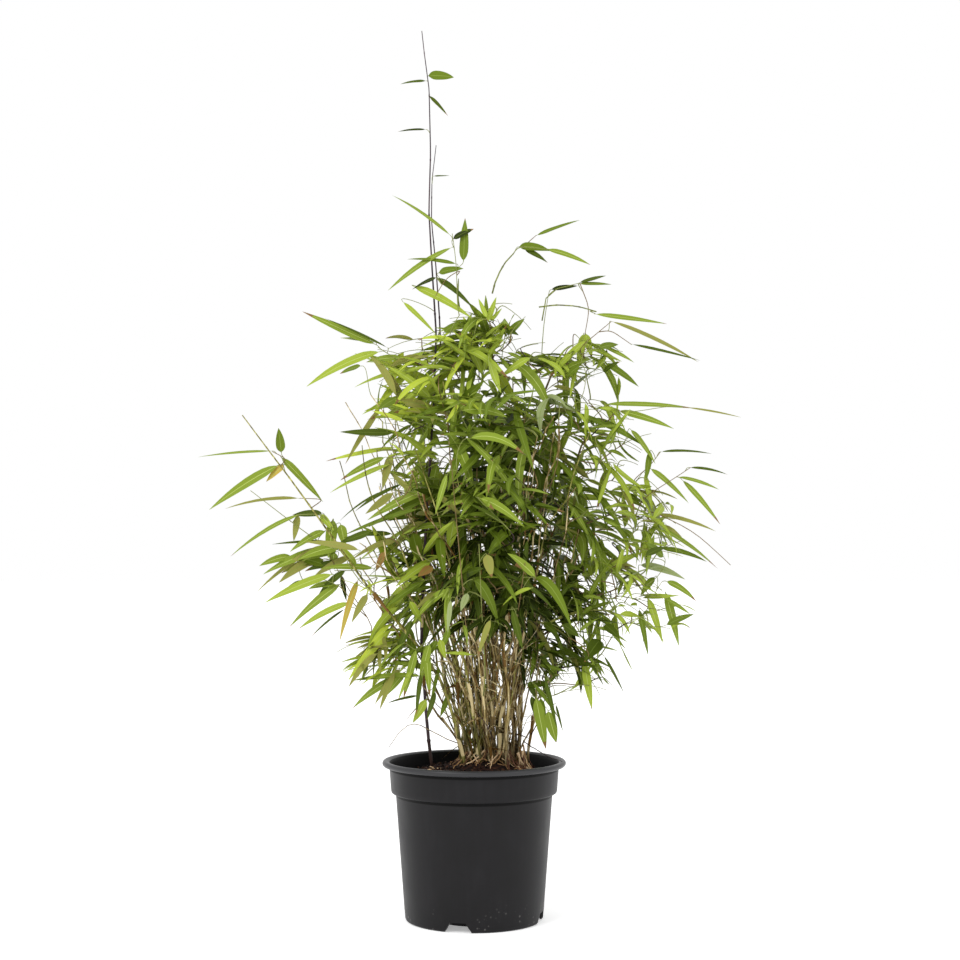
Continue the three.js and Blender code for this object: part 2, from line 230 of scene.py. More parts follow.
pot_profile += [
    (COLLAR_TOP_RADIUS, LIP_TOP - 7.4),
    (COLLAR_TOP_RADIUS + 0.3, LIP_TOP - 5.4),
    (COLLAR_TOP_RADIUS + 1.5, LIP_TOP - 4.8),
    (COLLAR_TOP_RADIUS + 3, LIP_TOP - 5.6),
]
lip_start = len(pot_profile)
pot_profile += [
    *arc(LIP_RADIUS - LIP_ROLL, LIP_TOP - LIP_ROLL, LIP_ROLL, -85, 95, 12),
    (LIP_RADIUS - 5.5, LIP_TOP - 0.5),
    (LIP_RADIUS - 7.2, LIP_TOP - 1.9),
]
lip_end = len(pot_profile) - 1
pot_profile += [
    (LIP_RADIUS - 8.3, LIP_TOP - 5),
    (COLLAR_FOOT_RADIUS - WALL, COLLAR_FOOT + 1.5),
    (WALL_TOP_RADIUS - WALL, COLLAR_FOOT - 3),
    (WALL_FOOT_RADIUS - WALL + 0.8, CHANNEL_RISE + WALL),
    (PAD_RADIUS + 3.2, CHANNEL_RISE + WALL),
    (PAD_RADIUS - WALL, WALL),
    (0, WALL),
]

notch_corners = [
    turn + side * math.asin(half / WALL_FOOT_RADIUS)
    for turn in NOTCH_TURNS
    for side in (-1, 1)
    for half in (NOTCH_HALF_TOP, NOTCH_HALF_FOOT)
]
turns = np.array(
    sorted({round(a % (2 * math.pi), 6) for a in notch_corners})
    + [2 * math.pi * k / POT_SIDES for k in range(POT_SIDES)]
)
turns.sort()
keep = np.append(np.diff(turns) > 0.004, True)
turns = turns[keep]

pot_points, pot_faces = [], []
for i, (radius, height) in enumerate(pot_profile):
    for turn in turns:
        z = max(height, notch_height(turn)) if rim_start <= i < rim_end else height
        pot_points.append(
            (radius * math.cos(turn) * MM, radius * math.sin(turn) * MM, z * MM)
        )
sides = len(turns)
for i in range(len(pot_profile) - 1):
    for k in range(sides):
        a, b = i * sides + k, i * sides + (k + 1) % sides
        ring = (a, b, b + sides, a + sides)
        if i == 0:
            ring = (a, b + sides, a + sides)
        elif i == len(pot_profile) - 2:
            ring = (a, b, b + sides)
        pot_faces.append(ring)
PLASTIC, SHADED, LIP = range(3)
# Painted shade goes under the collar's edge, under the lip and inside the pot. A painted highlight
# goes on the lip.
ring_slots = np.full(len(pot_profile) - 1, PLASTIC)
ring_slots[under_collar:collar_start] = SHADED
ring_slots[under_lip:lip_start] = SHADED
ring_slots[lip_start:lip_end] = LIP
ring_slots[lip_end:] = SHADED
pot_slots = np.repeat(ring_slots, sides).astype(np.int32)

# Moulded polypropylene: a soft sheen on a fine grain, with pale dust and scuffs at the foot.
pot_plastic, tree, shader = new_material(
    "moulded_charcoal_polypropylene", "#131214", 0.42, 1.49, 0.19
)
place = object_place(tree)
clouds = noise_pattern(tree, place, 35, 5.0)
streaks = noise_pattern(tree, stretched(tree, place, (1.0, 1.0, 0.06)), 5, 3.0)
tone = add_node(
    tree, "ShaderNodeMix", {"data_type": "FLOAT", 0: 0.35}, {2: clouds, 3: streaks}
).outputs[0]
skin = colour_ramp(tree, tone, [(0.3, "#0e0d0e"), (0.55, "#131214"), (0.75, "#1a191b")])
specks = add_node(
    tree, "ShaderNodeTexVoronoi", {"Scale": 1 / (4.5 * MM)}, {"Vector": place}
)  # one speck of dust in each few millimetres of wall
speck_size = remapped(tree, specks.outputs["Distance"], (0.3, 0.16), (0.0, 1.0))
height = add_node(tree, "ShaderNodeSeparateXYZ", links={"Vector": place})
low = remapped(tree, height.outputs["Z"], (0.028, 0.0), (0.0, 1.0))
patches = remapped(tree, clouds, (0.54, 0.72), (0.0, 0.8))
dust = speck_size
for factor in (low, patches):
    dust = add_node(
        tree, "ShaderNodeMath", {"operation": "MULTIPLY"}, {0: dust, 1: factor}
    ).outputs[0]
tree.links.new(overlaid(tree, dust, skin, "#a09d98"), shader.inputs["Base Color"])
tree.links.new(remapped(tree, tone, (0.3, 0.7), (0.36, 0.5)), shader.inputs["Roughness"])
add_relief(tree, shader, noise_pattern(tree, place, 0.9, 2.0), 0.18, 0.2)


def plain_plastic(name, colour, roughness, specular):
    """The same plastic in one tone on the same grain, for the painted shade and the painted highlight.
    """
    material, tree, shader = new_material(name, colour, roughness, 1.49, specular)
    grain = noise_pattern(tree, object_place(tree), 0.9, 2.0)
    add_relief(tree, shader, grain, 0.15, 0.2)
    shine = remapped(tree, grain, (0, 1), (roughness - 0.08, roughness + 0.08))
    tree.links.new(shine, shader.inputs["Roughness"])
    return material


# Inside and under the edges the plastic is painted nearly black as shade. The lip is painted paler as
# a highlight.
shaded_plastic = plain_plastic("painted_shade_polypropylene", "#040404", 0.5, 0.1)
# A painted highlight: the whole lip roll is lighter than the wall.
lip_highlight_plastic = plain_plastic("painted_highlight_lip_polypropylene", "#2c2c2e", 0.38, 0.3)
pot_shell = make_piece(
    "pot_shell",
    pot_points,
    pot_faces,
    [pot_plastic, shaded_plastic, lip_highlight_plastic],
    pot_slots,
    sharp_angle=38,
)
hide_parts("pot")


# ---- Compost ---------------------------------------------------------------------------------
# Damp reddish brown potting compost fills the pot and is mounded to where the culms stand. It is peat
# and coir, so it lies in crumbs, with chips of bark on top.

COMPOST_RADIUS = 76.8
COMPOST_PROFILE = [(0, 161), (22, 160), (44, 155), (64, 151), (71, 142), (COMPOST_RADIUS, 138)]
MOUND_SHIFT = 12  # the mound is highest where the clump stands
COMPOST_FOOT = 100  # the underside of the mound, hidden inside the pot
COMPOST_RINGS, COMPOST_SIDES = 40, 120


def compost_level(x, y):
    """Height of the crumbly surface, in metres."""
    rim = math.hypot(x, y) / (COMPOST_RADIUS * MM)
    radius = math.hypot(x - MOUND_SHIFT * MM * (1 - min(rim, 1)), y) / MM
    level = np.interp(radius, *zip(*COMPOST_PROFILE)) * MM
    lumps = noise.noise(Vector((x, y, 0.3)) / (9 * MM))
    crumbs = noise.noise(Vector((x, y, 0.7)) / (3.2 * MM))
    grit = noise.noise(Vector((x, y, 0.1)) / (1.3 * MM))
    return level + (1.5 * lumps + 1.1 * crumbs + 0.4 * grit) * MM


compost_points = [(0.0, 0.0, compost_level(0, 0))]
for i in range(1, COMPOST_RINGS + 1):
    radius = COMPOST_RADIUS * MM * i / COMPOST_RINGS
    for k in range(COMPOST_SIDES):
        turn = 2 * math.pi * k / COMPOST_SIDES
        x, y = radius * math.cos(turn), radius * math.sin(turn)
        compost_points.append((x, y, compost_level(x, y)))
for k in range(COMPOST_SIDES):
    x, y, z = compost_points[1 + (COMPOST_RINGS - 1) * COMPOST_SIDES + k]
    compost_points.append((x * 0.97, y * 0.97, COMPOST_FOOT * MM))
compost_points.append((0.0, 0.0, COMPOST_FOOT * MM))
compost_faces = []
for k in range(COMPOST_SIDES):
    after = (k + 1) % COMPOST_SIDES
    compost_faces.append((0, 1 + k, 1 + after))
    for i in range(COMPOST_RINGS):
        a, b = 1 + i * COMPOST_SIDES + k, 1 + i * COMPOST_SIDES + after
        compost_faces.append((a, a + COMPOST_SIDES, b + COMPOST_SIDES, b))
    last = 1 + COMPOST_RINGS * COMPOST_SIDES
    compost_faces.append((last + k, len(compost_points) - 1, last + after))

# Damp peat: nearly black between the crumbs and reddish brown on them, with hardly any shine.
peat, tree, shader = new_material("damp_peat_compost", "#1c100b", 0.9, 1.4, 0.2)
crumbs = noise_pattern(tree, object_place(tree), 4, 8.0)
crumb_stops = [(0.34, "#080403"), (0.5, "#1b0e0a"), (0.62, "#341c12"), (0.74, "#5a3a28")]
tree.links.new(colour_ramp(tree, crumbs, crumb_stops), shader.inputs["Base Color"])
add_relief(tree, shader, crumbs, 0.6, 1)

compost_mound = make_piece("compost_mound", compost_points, compost_faces, [peat])
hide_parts("soil")


def rough_material(name, colour, roughness, grain_size):
    """A dull dry plant material with a fibrous relief at grain_size millimetres."""
    material, tree, shader = new_material(name, colour, roughness, 1.45, 0.2)
    grain = noise_pattern(tree, object_place(tree), grain_size, 4.0)
    add_relief(tree, shader, grain, 0.5, 0.3)
    shine = remapped(tree, grain, (0, 1), (roughness - 0.12, roughness + 0.08))
    tree.links.new(shine, shader.inputs["Roughness"])
    return material


def joined(parts):
    """Points, faces and face slots of several (points, faces, slot or slots) parts as one mesh."""
    points, faces, slots, count = [], [], [], 0
    for part_points, part_faces, slot in parts:
        points.extend(part_points)
        faces.extend([[v + count for v in face] for face in part_faces])
        slots.extend([slot] * len(part_faces) if isinstance(slot, int) else slot)
        count += len(part_points)
    return points, faces, slots


CHIP_FACES = [(0, 1, 3, 2), (4, 6, 7, 5), (0, 4, 5, 1), (2, 3, 7, 6), (0, 2, 6, 4), (1, 5, 7, 3)]
CHIP_COUNT = 700
rng = np.random.default_rng(31)
chips = []
for _ in range(CHIP_COUNT):
    radius = COMPOST_RADIUS * 0.97 * MM * math.sqrt(rng.random())
    turn = 2 * math.pi * rng.random()
    x, y = radius * math.cos(turn), radius * math.sin(turn)
    size = np.array([rng.uniform(1.2, 5), rng.uniform(1, 2.6), rng.uniform(0.6, 1.4)]) * MM / 2
    axes = np.linalg.qr(rng.normal(size=(3, 3)))[0]
    axes[2] *= 0.5
    corners = [
        (np.array([i & 1, i >> 1 & 1, i >> 2]) * 2 - 1) * size * rng.uniform(0.7, 1.2, 3)
        for i in range(8)
    ]
    centre = np.array([x, y, compost_level(x, y) + 0.5 * MM])
    slot = int(rng.choice(4, p=[0.5, 0.32, 0.14, 0.04]))
    chips.append(([tuple(centre + corner @ axes) for corner in corners], CHIP_FACES, slot))

# Shredded bark: dull and fibrous, from nearly black to a dry tan.
bark_kinds = [
    rough_material("dark_shredded_bark", "#0f0805", 0.9, 0.8),
    rough_material("red_shredded_bark", "#2a140c", 0.88, 0.8),
    rough_material("dry_shredded_bark", "#3d2719", 0.85, 0.8),
    rough_material("pale_wood_chip", "#6d5238", 0.85, 0.8),
]
bark_points, bark_faces, bark_slots = joined(chips)
compost_bark = make_piece(
    "compost_bark", bark_points, bark_faces, bark_kinds, bark_slots, sharp_angle=30
)


# ---- Culms and stems -------------------------------------------------------------------------
# Each culm is a thin woody cane, jointed every few centimetres, with papery sheaths that clasp
# it above the joints. The young ones are olive, the old ones straw, and the tall one is dark.

CLUMP_CENTRE = np.array([19, 8, 0]) * MM
UP = np.array([0.0, 0.0, 1.0])


def unit(v):
    """A vector, or each row of several, at length 1."""
    v = np.asarray(v, float)
    return v / np.maximum(np.linalg.norm(v, axis=-1, keepdims=True), 1e-12)


STEP = 6 * MM  # between the places where a limb is sliced


def centreline(node):
    """Points and radii along a CAD limb, read by slicing it square to its own course."""
    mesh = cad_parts[node].data
    mesh.calc_loop_triangles()
    corners = np.array([v.co[:] for v in mesh.vertices])
    triangles = corners[np.array([t.vertices[:] for t in mesh.loop_triangles])]
    reach = corners[:, 2] + np.linalg.norm((corners - CLUMP_CENTRE)[:, :2], axis=1)
    here = corners[reach < reach.min() + 4 * MM].mean(0)
    away = np.linalg.norm(corners - here, axis=1)
    ahead = corners[(away > 10 * MM) & (away < away[away > 10 * MM].min() + 5 * MM)].mean(0)
    course = unit(ahead - here)
    points, radii = [here], []
    while len(points) < 400:
        at = here + course * STEP
        side = (triangles - at) @ course
        near = np.linalg.norm(triangles.mean(1) - at, axis=1) < 120 * MM
        crossed = triangles[near & (side.min(1) < 0) & (side.max(1) > 0)]
        ends = []
        for triangle in crossed:
            off = (triangle - at) @ course
            cut = [
                triangle[i] + (triangle[j] - triangle[i]) * off[i] / (off[i] - off[j])
                for i, j in ((0, 1), (1, 2), (2, 0))
                if off[i] * off[j] < 0
            ]
            if len(cut) == 2 and np.linalg.norm(cut[0] - at) < 14 * MM:
                ends.append(cut)
        if not ends:
            break
        ends = np.array(ends)
        weights = np.linalg.norm(ends[:, 0] - ends[:, 1], axis=1) + 1e-9
        middle = (ends.mean(1) * weights[:, None]).sum(0) / weights.sum()
        radii.append((np.linalg.norm(ends.mean(1) - middle, axis=1) * weights).sum() / weights.sum())
        course = unit(course + unit(middle - here))
        here = middle
        points.append(here)
    return np.array(points), np.array([radii[0], *radii])


def bezier(a, b, c, d, count):
    """Points along a cubic curve."""
    t = np.linspace(0, 1, count)[:, None]
    return a * (1 - t) ** 3 + 3 * b * t * (1 - t) ** 2 + 3 * c * t * t * (1 - t) + d * t**3


def resampled(points, radii, stations):
    """The course and radii at given distances along it."""
    along = np.append(0, np.cumsum(np.linalg.norm(np.diff(points, axis=0), axis=1)))
    course = np.stack([np.interp(stations, along, points[:, k]) for k in range(3)], 1)
    return course, np.interp(stations, along, radii)


def length_of(points):
    """The length of a line through points."""
    return np.linalg.norm(np.diff(points, axis=0), axis=1).sum()


def softened(line, count, rounds):
    """A line of a few points as a soft curve of count points, smoothed in rounds."""
    line = np.array(line)
    course, _ = resampled(line, np.zeros(len(line)), np.linspace(0, length_of(line), count))
    for _ in range(rounds):
        course[1:-1] = (course[:-2] + course[1:-1] * 2 + course[2:]) / 4
    return course


def tube(course, radii, sides):
    """Points and faces of a closed round rod along a course."""
    tangents = unit(np.gradient(course, axis=0))
    across = unit(np.cross(tangents[0], [0.3, 1.0, 0.2]))
    points = []
    for here, along, radius in zip(course, tangents, radii):
        across = unit(across - along * (across @ along))
        other = np.cross(along, across)
        for k in range(sides):
            turn = 2 * math.pi * k / sides
            points.append(here + radius * (across * math.cos(turn) + other * math.sin(turn)))
    faces = []
    for i in range(len(course) - 1):
        for k in range(sides):
            a, b = i * sides + k, i * sides + (k + 1) % sides
            faces.append([a, b, b + sides, a + sides])
    faces.append(list(range(sides))[::-1])
    last = (len(course) - 1) * sides
    faces.append([last + k for k in range(sides)])
    return points, faces


JOINT_SWELL, JOINT_GROOVE = 0.3, 0.08  # shares of the radius
JOINT_HALF = 1.1 * MM


def jointed_culm(points, radii, spacing, rng, sides, kink):
    """A cane with swollen joints: its course, joint places and rod."""
    total = length_of(points)
    joints, at = [], rng.uniform(0.2, 0.7) * spacing
    while at < total - 6 * MM:
        joints.append(at)
        at += spacing * rng.uniform(0.75, 1.3)
    stations = {0.0, total}
    for joint in joints:
        for off in (-4, -2, -0.9, 0, 0.9, 2.2, 4):
            stations.add(min(max(joint + off * MM, 0), total))
    stations |= {*np.arange(0, total, 12 * MM)}
    stations = np.array(sorted(stations))
    stations = stations[np.append(np.diff(stations) > 0.3 * MM, True)]
    course, thickness = resampled(points, radii, stations)
    bend_at = np.array([0, *joints, total])
    bends = rng.normal(size=(len(bend_at), 3)) * kink
    bends[0] = bends[-1] = 0
    course = course + np.stack([np.interp(stations, bend_at, bends[:, k]) for k in range(3)], 1)
    for joint in joints:
        off = stations - joint
        thickness = thickness * (
            1
            + JOINT_SWELL * np.exp(-((off / JOINT_HALF) ** 2))
            - JOINT_GROOVE * np.exp(-(((off - 2.2 * MM) / JOINT_HALF) ** 2))
        )
    return course, joints, tube(course, thickness, sides)


def sheath(course, joint, length, radius, rng):
    """A papery sheath round a cane: clasping at the joint, open down one side, ragged on top."""
    steps, sides = 6, 8
    stations = joint + np.linspace(0.2 * MM, length, steps)
    line, _ = resampled(course, np.zeros(len(course)), stations)
    tangents = unit(np.gradient(line, axis=0))
    start = rng.uniform(0, 2 * math.pi)
    wrap = math.radians(rng.uniform(190, 320))
    flare = rng.uniform(0.1, 1.6) * MM
    points = []
    for i, (here, along) in enumerate(zip(line, tangents)):
        across = unit(np.cross(along, [0.3, 1.0, 0.2]))
        other = np.cross(along, across)
        share = i / (steps - 1)
        for k in range(sides):
            turn = start + wrap * (k / (sides - 1) - 0.5) * (1 - 0.55 * share**2)
            out = radius + 0.15 * MM + flare * share**2 * (0.7 + 0.6 * k / (sides - 1))
            ragged = along * rng.normal() * 0.8 * MM * share
            points.append(here + out * (across * math.cos(turn) + other * math.sin(turn)) + ragged)
    faces = [
        [i * sides + k, i * sides + k + 1, (i + 1) * sides + k + 1, (i + 1) * sides + k]
        for i in range(steps - 1)
        for k in range(sides - 1)
    ]
    return points, faces


def cane_material(name, stops, roughness):
    """The waxy skin of a cane: streaked in a few tones, blotched, and darker at its foot with soil
    stain and painted shade.
    """
    material, tree, shader = new_material(name, stops[1][1], roughness, 1.48, 0.25)
    place = object_place(tree)
    streaks = noise_pattern(tree, stretched(tree, place, (1.0, 1.0, 3.0 / 26)), 3, 4.0)
    colour = colour_ramp(tree, streaks, stops)
    blotches = remapped(tree, noise_pattern(tree, place, 7, 5.0), (0.56, 0.7), (0.0, 0.55))
    spotted = overlaid(tree, blotches, colour, "#3a2a1c")
    height = add_node(tree, "ShaderNodeSeparateXYZ", links={"Vector": place})
    # Darker towards the foot, near the compost: partly soil stain, partly painted shade.
    stain_and_shade = remapped(tree, height.outputs["Z"], (0.155, 0.205), (0.75, 0.0))
    tree.links.new(overlaid(tree, stain_and_shade, spotted, "#2b1d0e"), shader.inputs["Base Color"])
    add_relief(tree, shader, streaks, 0.35, 0.2)
    return material


# Young cane is olive with a satin wax, old cane is straw or tan and dull, and the tall culm has
# ripened to a purple black that shines a little.
olive_cane = cane_material(
    "young_olive_cane", [(0.33, "#3d3a0e"), (0.5, "#78742e"), (0.67, "#b5b064")], 0.42
)
straw_cane = cane_material(
    "ripe_straw_cane", [(0.33, "#64501f"), (0.5, "#aa965e"), (0.67, "#e6dab8")], 0.5
)
tan_cane = cane_material(
    "old_tan_cane", [(0.33, "#38280e"), (0.5, "#776234"), (0.67, "#b8a478")], 0.55
)
dark_cane = cane_material(
    "ripened_dark_cane", [(0.3, "#1c1419"), (0.5, "#35262c"), (0.7, "#57464a")], 0.38
)
green_stem = cane_material(
    "green_side_shoot", [(0.3, "#4f5527"), (0.5, "#70783a"), (0.7, "#8d9350")], 0.45
)
# Dry sheath is thin, papery and dull: it scatters the light and looks paler than the cane.
straw_sheath = rough_material("straw_papery_sheath", "#c5b485", 0.72, 0.6)
brown_sheath = rough_material("brown_papery_sheath", "#6c5024", 0.74, 0.6)

wood = []  # (point, course) rows that shoots, boughs and twigs can leave from


def add_wood(course, start=0):
    """Lets later shoots leave from a course, from its start point on."""
    tangents = unit(np.gradient(course, axis=0))
    wood.extend(zip(course[start:], tangents[start:]))


CANE_KINDS = [olive_cane, straw_cane, tan_cane, dark_cane, green_stem, straw_sheath, brown_sheath]
OLIVE, STRAW, TAN, DARK, GREEN, STRAW_SHEATH, BROWN_SHEATH = range(len(CANE_KINDS))
SHEATH_TOP = 0.42  # sheaths have fallen from the culms above this height


def cane_parts(points, radii, kind, rng, spacing=42 * MM, sheathed=0.0, sides=9, kink=0.5 * MM):
    """The course of one culm and its parts: the rod, and sheaths on some of its joints."""
    course, joints, rod = jointed_culm(points, radii, spacing, rng, sides, kink)
    parts = [(*rod, kind)]
    for joint in joints:
        place, radius = resampled(points, radii, np.array([joint]))
        if rng.random() < sheathed and place[0, 2] < SHEATH_TOP:
            cover = sheath(course, joint, spacing * rng.uniform(0.4, 0.85), radius[0], rng)
            parts.append((*cover, STRAW_SHEATH if rng.random() < 0.55 else BROWN_SHEATH))
    return course, parts


def cane_piece(name, parts, node=None):
    """Joins cane parts into one piece with only the materials it needs."""
    points, faces, slots = joined(parts)
    used, slots = np.unique(slots, return_inverse=True)
    piece = make_piece(name, points, faces, [CANE_KINDS[i] for i in used], slots.astype(np.int32))
    if node:
        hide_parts(node)


def wandering(course, rng, size, wave=(90, 190)):
    """A course that sways gently from side to side, but not at its foot."""
    along = np.append(0, np.cumsum(np.linalg.norm(np.diff(course, axis=0), axis=1))) / MM
    sway = np.zeros_like(course)
    for _ in range(2):
        turn = rng.uniform(0, 2 * math.pi)
        way = np.array([math.cos(turn), math.sin(turn) * 0.7, 0])
        sway += np.sin(along * 2 * math.pi / rng.uniform(*wave) + rng.uniform(0, 6))[:, None] * way
    return course + sway * size * np.clip(along / 60, 0, 1)[:, None]


SLENDER = 0.72  # the cane's share of its node's radius: the node takes in its sheaths
CLUMP_HALF = np.array([37, 27, 1]) * MM
CULM_TOP_INNER, CULM_TOP_OUTER = 0.60, 0.43
TIP_RADIUS = 0.6 * MM
rng = np.random.default_rng(5)
clump_names = sorted(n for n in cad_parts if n.startswith("culm_"))
for number, node in enumerate(clump_names, 1):
    points, radii = centreline(node)
    foot, here = points[0], points[-1]
    out = (foot - CLUMP_CENTRE) * [1, 1, 0]
    share = min(np.linalg.norm(out / CLUMP_HALF), 1)
    course = unit(points[-1] - points[-3])
    top_height = CULM_TOP_INNER + (CULM_TOP_OUTER - CULM_TOP_INNER) * share + rng.normal() * 0.03
    rise = max(top_height - here[2], 0.08)
    drift = unit(out + rng.normal(size=3) * 0.008) * [1, 1, 0]
    top = here + course * rise * 0.6 + UP * rise * 0.4 + drift * rise * 0.22
    rest = bezier(here, here + course * rise * 0.4, top - UP * rise * 0.3, top, 24)[1:]
    whole = wandering(np.vstack([points, rest]), rng, 2.2 * MM)
    whole_radii = SLENDER * np.append(radii, np.linspace(radii[-1], TIP_RADIUS, len(rest)))
    kind = OLIVE if out[0] < -8 * MM else TAN if number % 3 == 0 else STRAW
    course, parts = cane_parts(
        whole, whole_radii, kind, rng, sheathed=0.3 if kind == OLIVE else 0.75, kink=1.1 * MM
    )
    cane_piece(f"cane_{number:02d}", parts, node)
    add_wood(course[course[:, 2] > 0.2])

# Thinner culms crowd between them. Most fan out with the clump, and some lean across it.
THIN_CULMS = 84
thin_rng = np.random.default_rng(12)
thin_parts, clump_courses = [], []
for number in range(THIN_CULMS):
    share = math.sqrt((number + 0.5) / THIN_CULMS)
    turn = thin_rng.uniform(0, 2 * math.pi)
    out = CLUMP_HALF * 0.72 * share * [math.cos(turn), math.sin(turn), 0]
    foot = CLUMP_CENTRE + out + UP * 151 * MM
    rise = thin_rng.uniform(0.14, 0.4)
    lean = out * thin_rng.uniform(0.8, 3.2) + thin_rng.normal(size=3) * [0.036, 0.022, 0]
    lean = (lean - [0.016, 0, 0]) * rise / 0.25 + UP * rise
    elbow = foot + lean * [thin_rng.uniform(0.1, 0.6), 0.3, 0.5] + thin_rng.normal(size=3) * 5 * MM
    points = bezier(
        foot, foot + (elbow - foot) * 0.66, elbow + (foot + lean - elbow) * 0.33, foot + lean, 40
    )
    points = wandering(points, thin_rng, thin_rng.uniform(1.5, 4.5) * MM, (55, 130))
    foot_radius = thin_rng.uniform(0.6, 1.35) * MM
    odds = (0.55, 0.2, 0.25) if out[0] < -10 * MM else (0.15, 0.4, 0.45)
    kind = int(thin_rng.choice([OLIVE, STRAW, TAN], p=odds))
    course, parts = cane_parts(
        points, np.linspace(foot_radius, 0.5 * MM, 40), kind, thin_rng,
        spacing=thin_rng.uniform(18, 34) * MM, sheathed=0.4, sides=7, kink=1.9 * MM,
    )
    thin_parts += parts
    clump_courses.append(course)
    add_wood(course[course[:, 2] > 0.22])
cane_piece("thin_canes", thin_parts)

stem_rng = np.random.default_rng(21)
STEMS = {
    "tall_culm": (DARK, 52 * MM, 0.25),
    "left_leaning_culm": (OLIVE, 40 * MM, 0.3),
    "tall_side_shoot": (DARK, 60 * MM, 0.0),
    "tuft_stem": (GREEN, 22 * MM, 0.0),
    "arching_stem": (GREEN, 24 * MM, 0.0),
    "high_right_stem": (GREEN, 24 * MM, 0.0),
    "shoulder_stem": (GREEN, 26 * MM, 0.0),
}
for node, (kind, spacing, sheathed) in STEMS.items():
    points, radii = centreline(node)
    course, parts = cane_parts(points, radii, kind, stem_rng, spacing, sheathed)
    cane_piece(f"{node}_cane", parts, node)
    add_wood(course, start=0 if course[0, 2] > 0.3 else len(course) // 3)


# ---- Dry twigs, roots and rhizomes -----------------------------------------------------------
# Among the culms stand dead side shoots and bits of dry sheath. At their feet the rhizomes elbow
# through the compost and pale roots run down into it.

DEAD_SHOOTS = 150
dead_rng = np.random.default_rng(8)
dead_parts = []
for _ in range(DEAD_SHOOTS):
    course = clump_courses[dead_rng.integers(len(clump_courses))]
    low_part = course[(course[:, 2] > 0.158) & (course[:, 2] < 0.33)]
    here = low_part[dead_rng.integers(len(low_part))]
    heading = dead_rng.uniform(0, 2 * math.pi)
    tilt = dead_rng.uniform(0.15, 0.9)
    aim = unit([math.cos(heading) * tilt, math.sin(heading) * tilt, dead_rng.uniform(0.3, 1)])
    span = dead_rng.uniform(20, 85) * MM
    line = [here]
    while len(line) < 6:
        aim = unit(aim + dead_rng.normal(size=3) * 0.22)
        line.append(line[-1] + aim * span / 5)
    line = np.array(line)
    if np.linalg.norm((line[-1] - CLUMP_CENTRE)[:2]) > 80 * MM:
        continue
    thick = dead_rng.uniform(0.3, 0.6) * MM
    kind = int(dead_rng.choice([STRAW, TAN, OLIVE, DARK], p=[0.4, 0.35, 0.2, 0.05]))
    dead_parts.append((*tube(line, np.linspace(thick, thick * 0.5, 6), 5), kind))

# A few long dry twigs: one lies from the clump to the rim on the right, others hang on the left.
LONG_TWIGS = [
    [(50, -4, 182), (62, -8, 175), (76, -12, 167), (91, -15, 162.4)],
    [(-6, -12, 178), (-28, -17, 185), (-62, -20, 205), (-78, -21, 192), (-87, -21, 178)],
    [(-26, -10, 240), (-34, -14, 226), (-24, -15, 214), (-10, -14, 205)],
    [(-14, -14, 200), (-32, -18, 214), (-46, -20, 232), (-60, -20, 250)],
    [(20, -20, 185), (12, -22, 202), (2, -24, 214)],
    [(58, -10, 190), (66, -14, 203), (72, -16, 226), (78, -16, 250)],
]
for line in LONG_TWIGS:
    course = softened(np.array(line) * MM, 14, 2)
    course += dead_rng.normal(size=course.shape) * 0.25 * MM
    kind = TAN if line[0][0] < 0 else DARK
    dead_parts.append((*tube(course, np.linspace(0.6, 0.3, 14) * MM, 6), kind))

# Loose dry sheaths: narrow papery strips standing off the culms.
LOOSE_SHEATHS = 110
for _ in range(LOOSE_SHEATHS):
    course = clump_courses[dead_rng.integers(len(clump_courses))]
    low_part = course[course[:, 2] < 0.3]
    here = low_part[dead_rng.integers(len(low_part))]
    heading = dead_rng.uniform(0, 2 * math.pi)
    aim = unit([math.cos(heading) * 0.5, math.sin(heading) * 0.5, dead_rng.uniform(-0.2, 1)])
    span, half = dead_rng.uniform(14, 42) * MM, dead_rng.uniform(0.7, 1.9) * MM
    side = unit(np.cross(aim, dead_rng.normal(size=3)))
    points = []
    for share, width in ((0, 0.8), (0.25, 1), (0.55, 0.8), (0.8, 0.45), (1, 0.06)):
        middle = here + aim * span * share - UP * span * 0.35 * share**2
        hollow = np.cross(side, aim) * half * 0.5 * width
        points += [middle - side * half * width, middle + hollow, middle + side * half * width]
        side = unit(side + dead_rng.normal(size=3) * 0.12)
    faces = [[a, a + 1, a + 4, a + 3] for a in (i * 3 + k for i in range(4) for k in range(2))]
    dead_parts.append((points, faces, int(dead_rng.choice([STRAW_SHEATH, BROWN_SHEATH, TAN]))))
cane_piece("dry_shoots_and_sheaths", dead_parts)

# Roots and rhizomes are smooth and pale where they are fresh, and reddish brown where they are old.
root_kinds = [
    rough_material("pale_root", "#c9ad88", 0.6, 0.8),
    rough_material("red_brown_root", "#553727", 0.65, 0.8),
    rough_material("tan_rhizome", "#8d6d48", 0.6, 1.2),
]
ROOTS, RHIZOMES = 100, 16
root_rng = np.random.default_rng(64)
root_parts = []
for _ in range(ROOTS):
    out = unit([*root_rng.normal(size=2), 0])
    foot = CLUMP_CENTRE + CLUMP_HALF * out * math.sqrt(root_rng.uniform(0.2, 1.1))
    turn = math.atan2(out[1], out[0]) + root_rng.normal() * 0.9
    run = np.array([math.cos(turn), math.sin(turn), 0]) * root_rng.uniform(5, 26) * MM
    start = foot + UP * root_rng.uniform(156, 179) * MM
    end = foot + run
    end = np.array([end[0], end[1], compost_level(end[0], end[1]) - 1 * MM])
    knee = foot + run * 0.25 + UP * (end[2] + root_rng.uniform(3, 8) * MM)
    line = bezier(start, knee, end - run * 0.2 + UP * 4 * MM, end, 9)
    line[1:-1] += root_rng.normal(size=(7, 3)) * 0.5 * MM
    thick = root_rng.uniform(0.35, 1.1) * MM
    kind = int(root_rng.choice(3, p=[0.4, 0.22, 0.38]))
    root_parts.append((*tube(line, np.linspace(thick, thick * 0.5, 9), 6), kind))
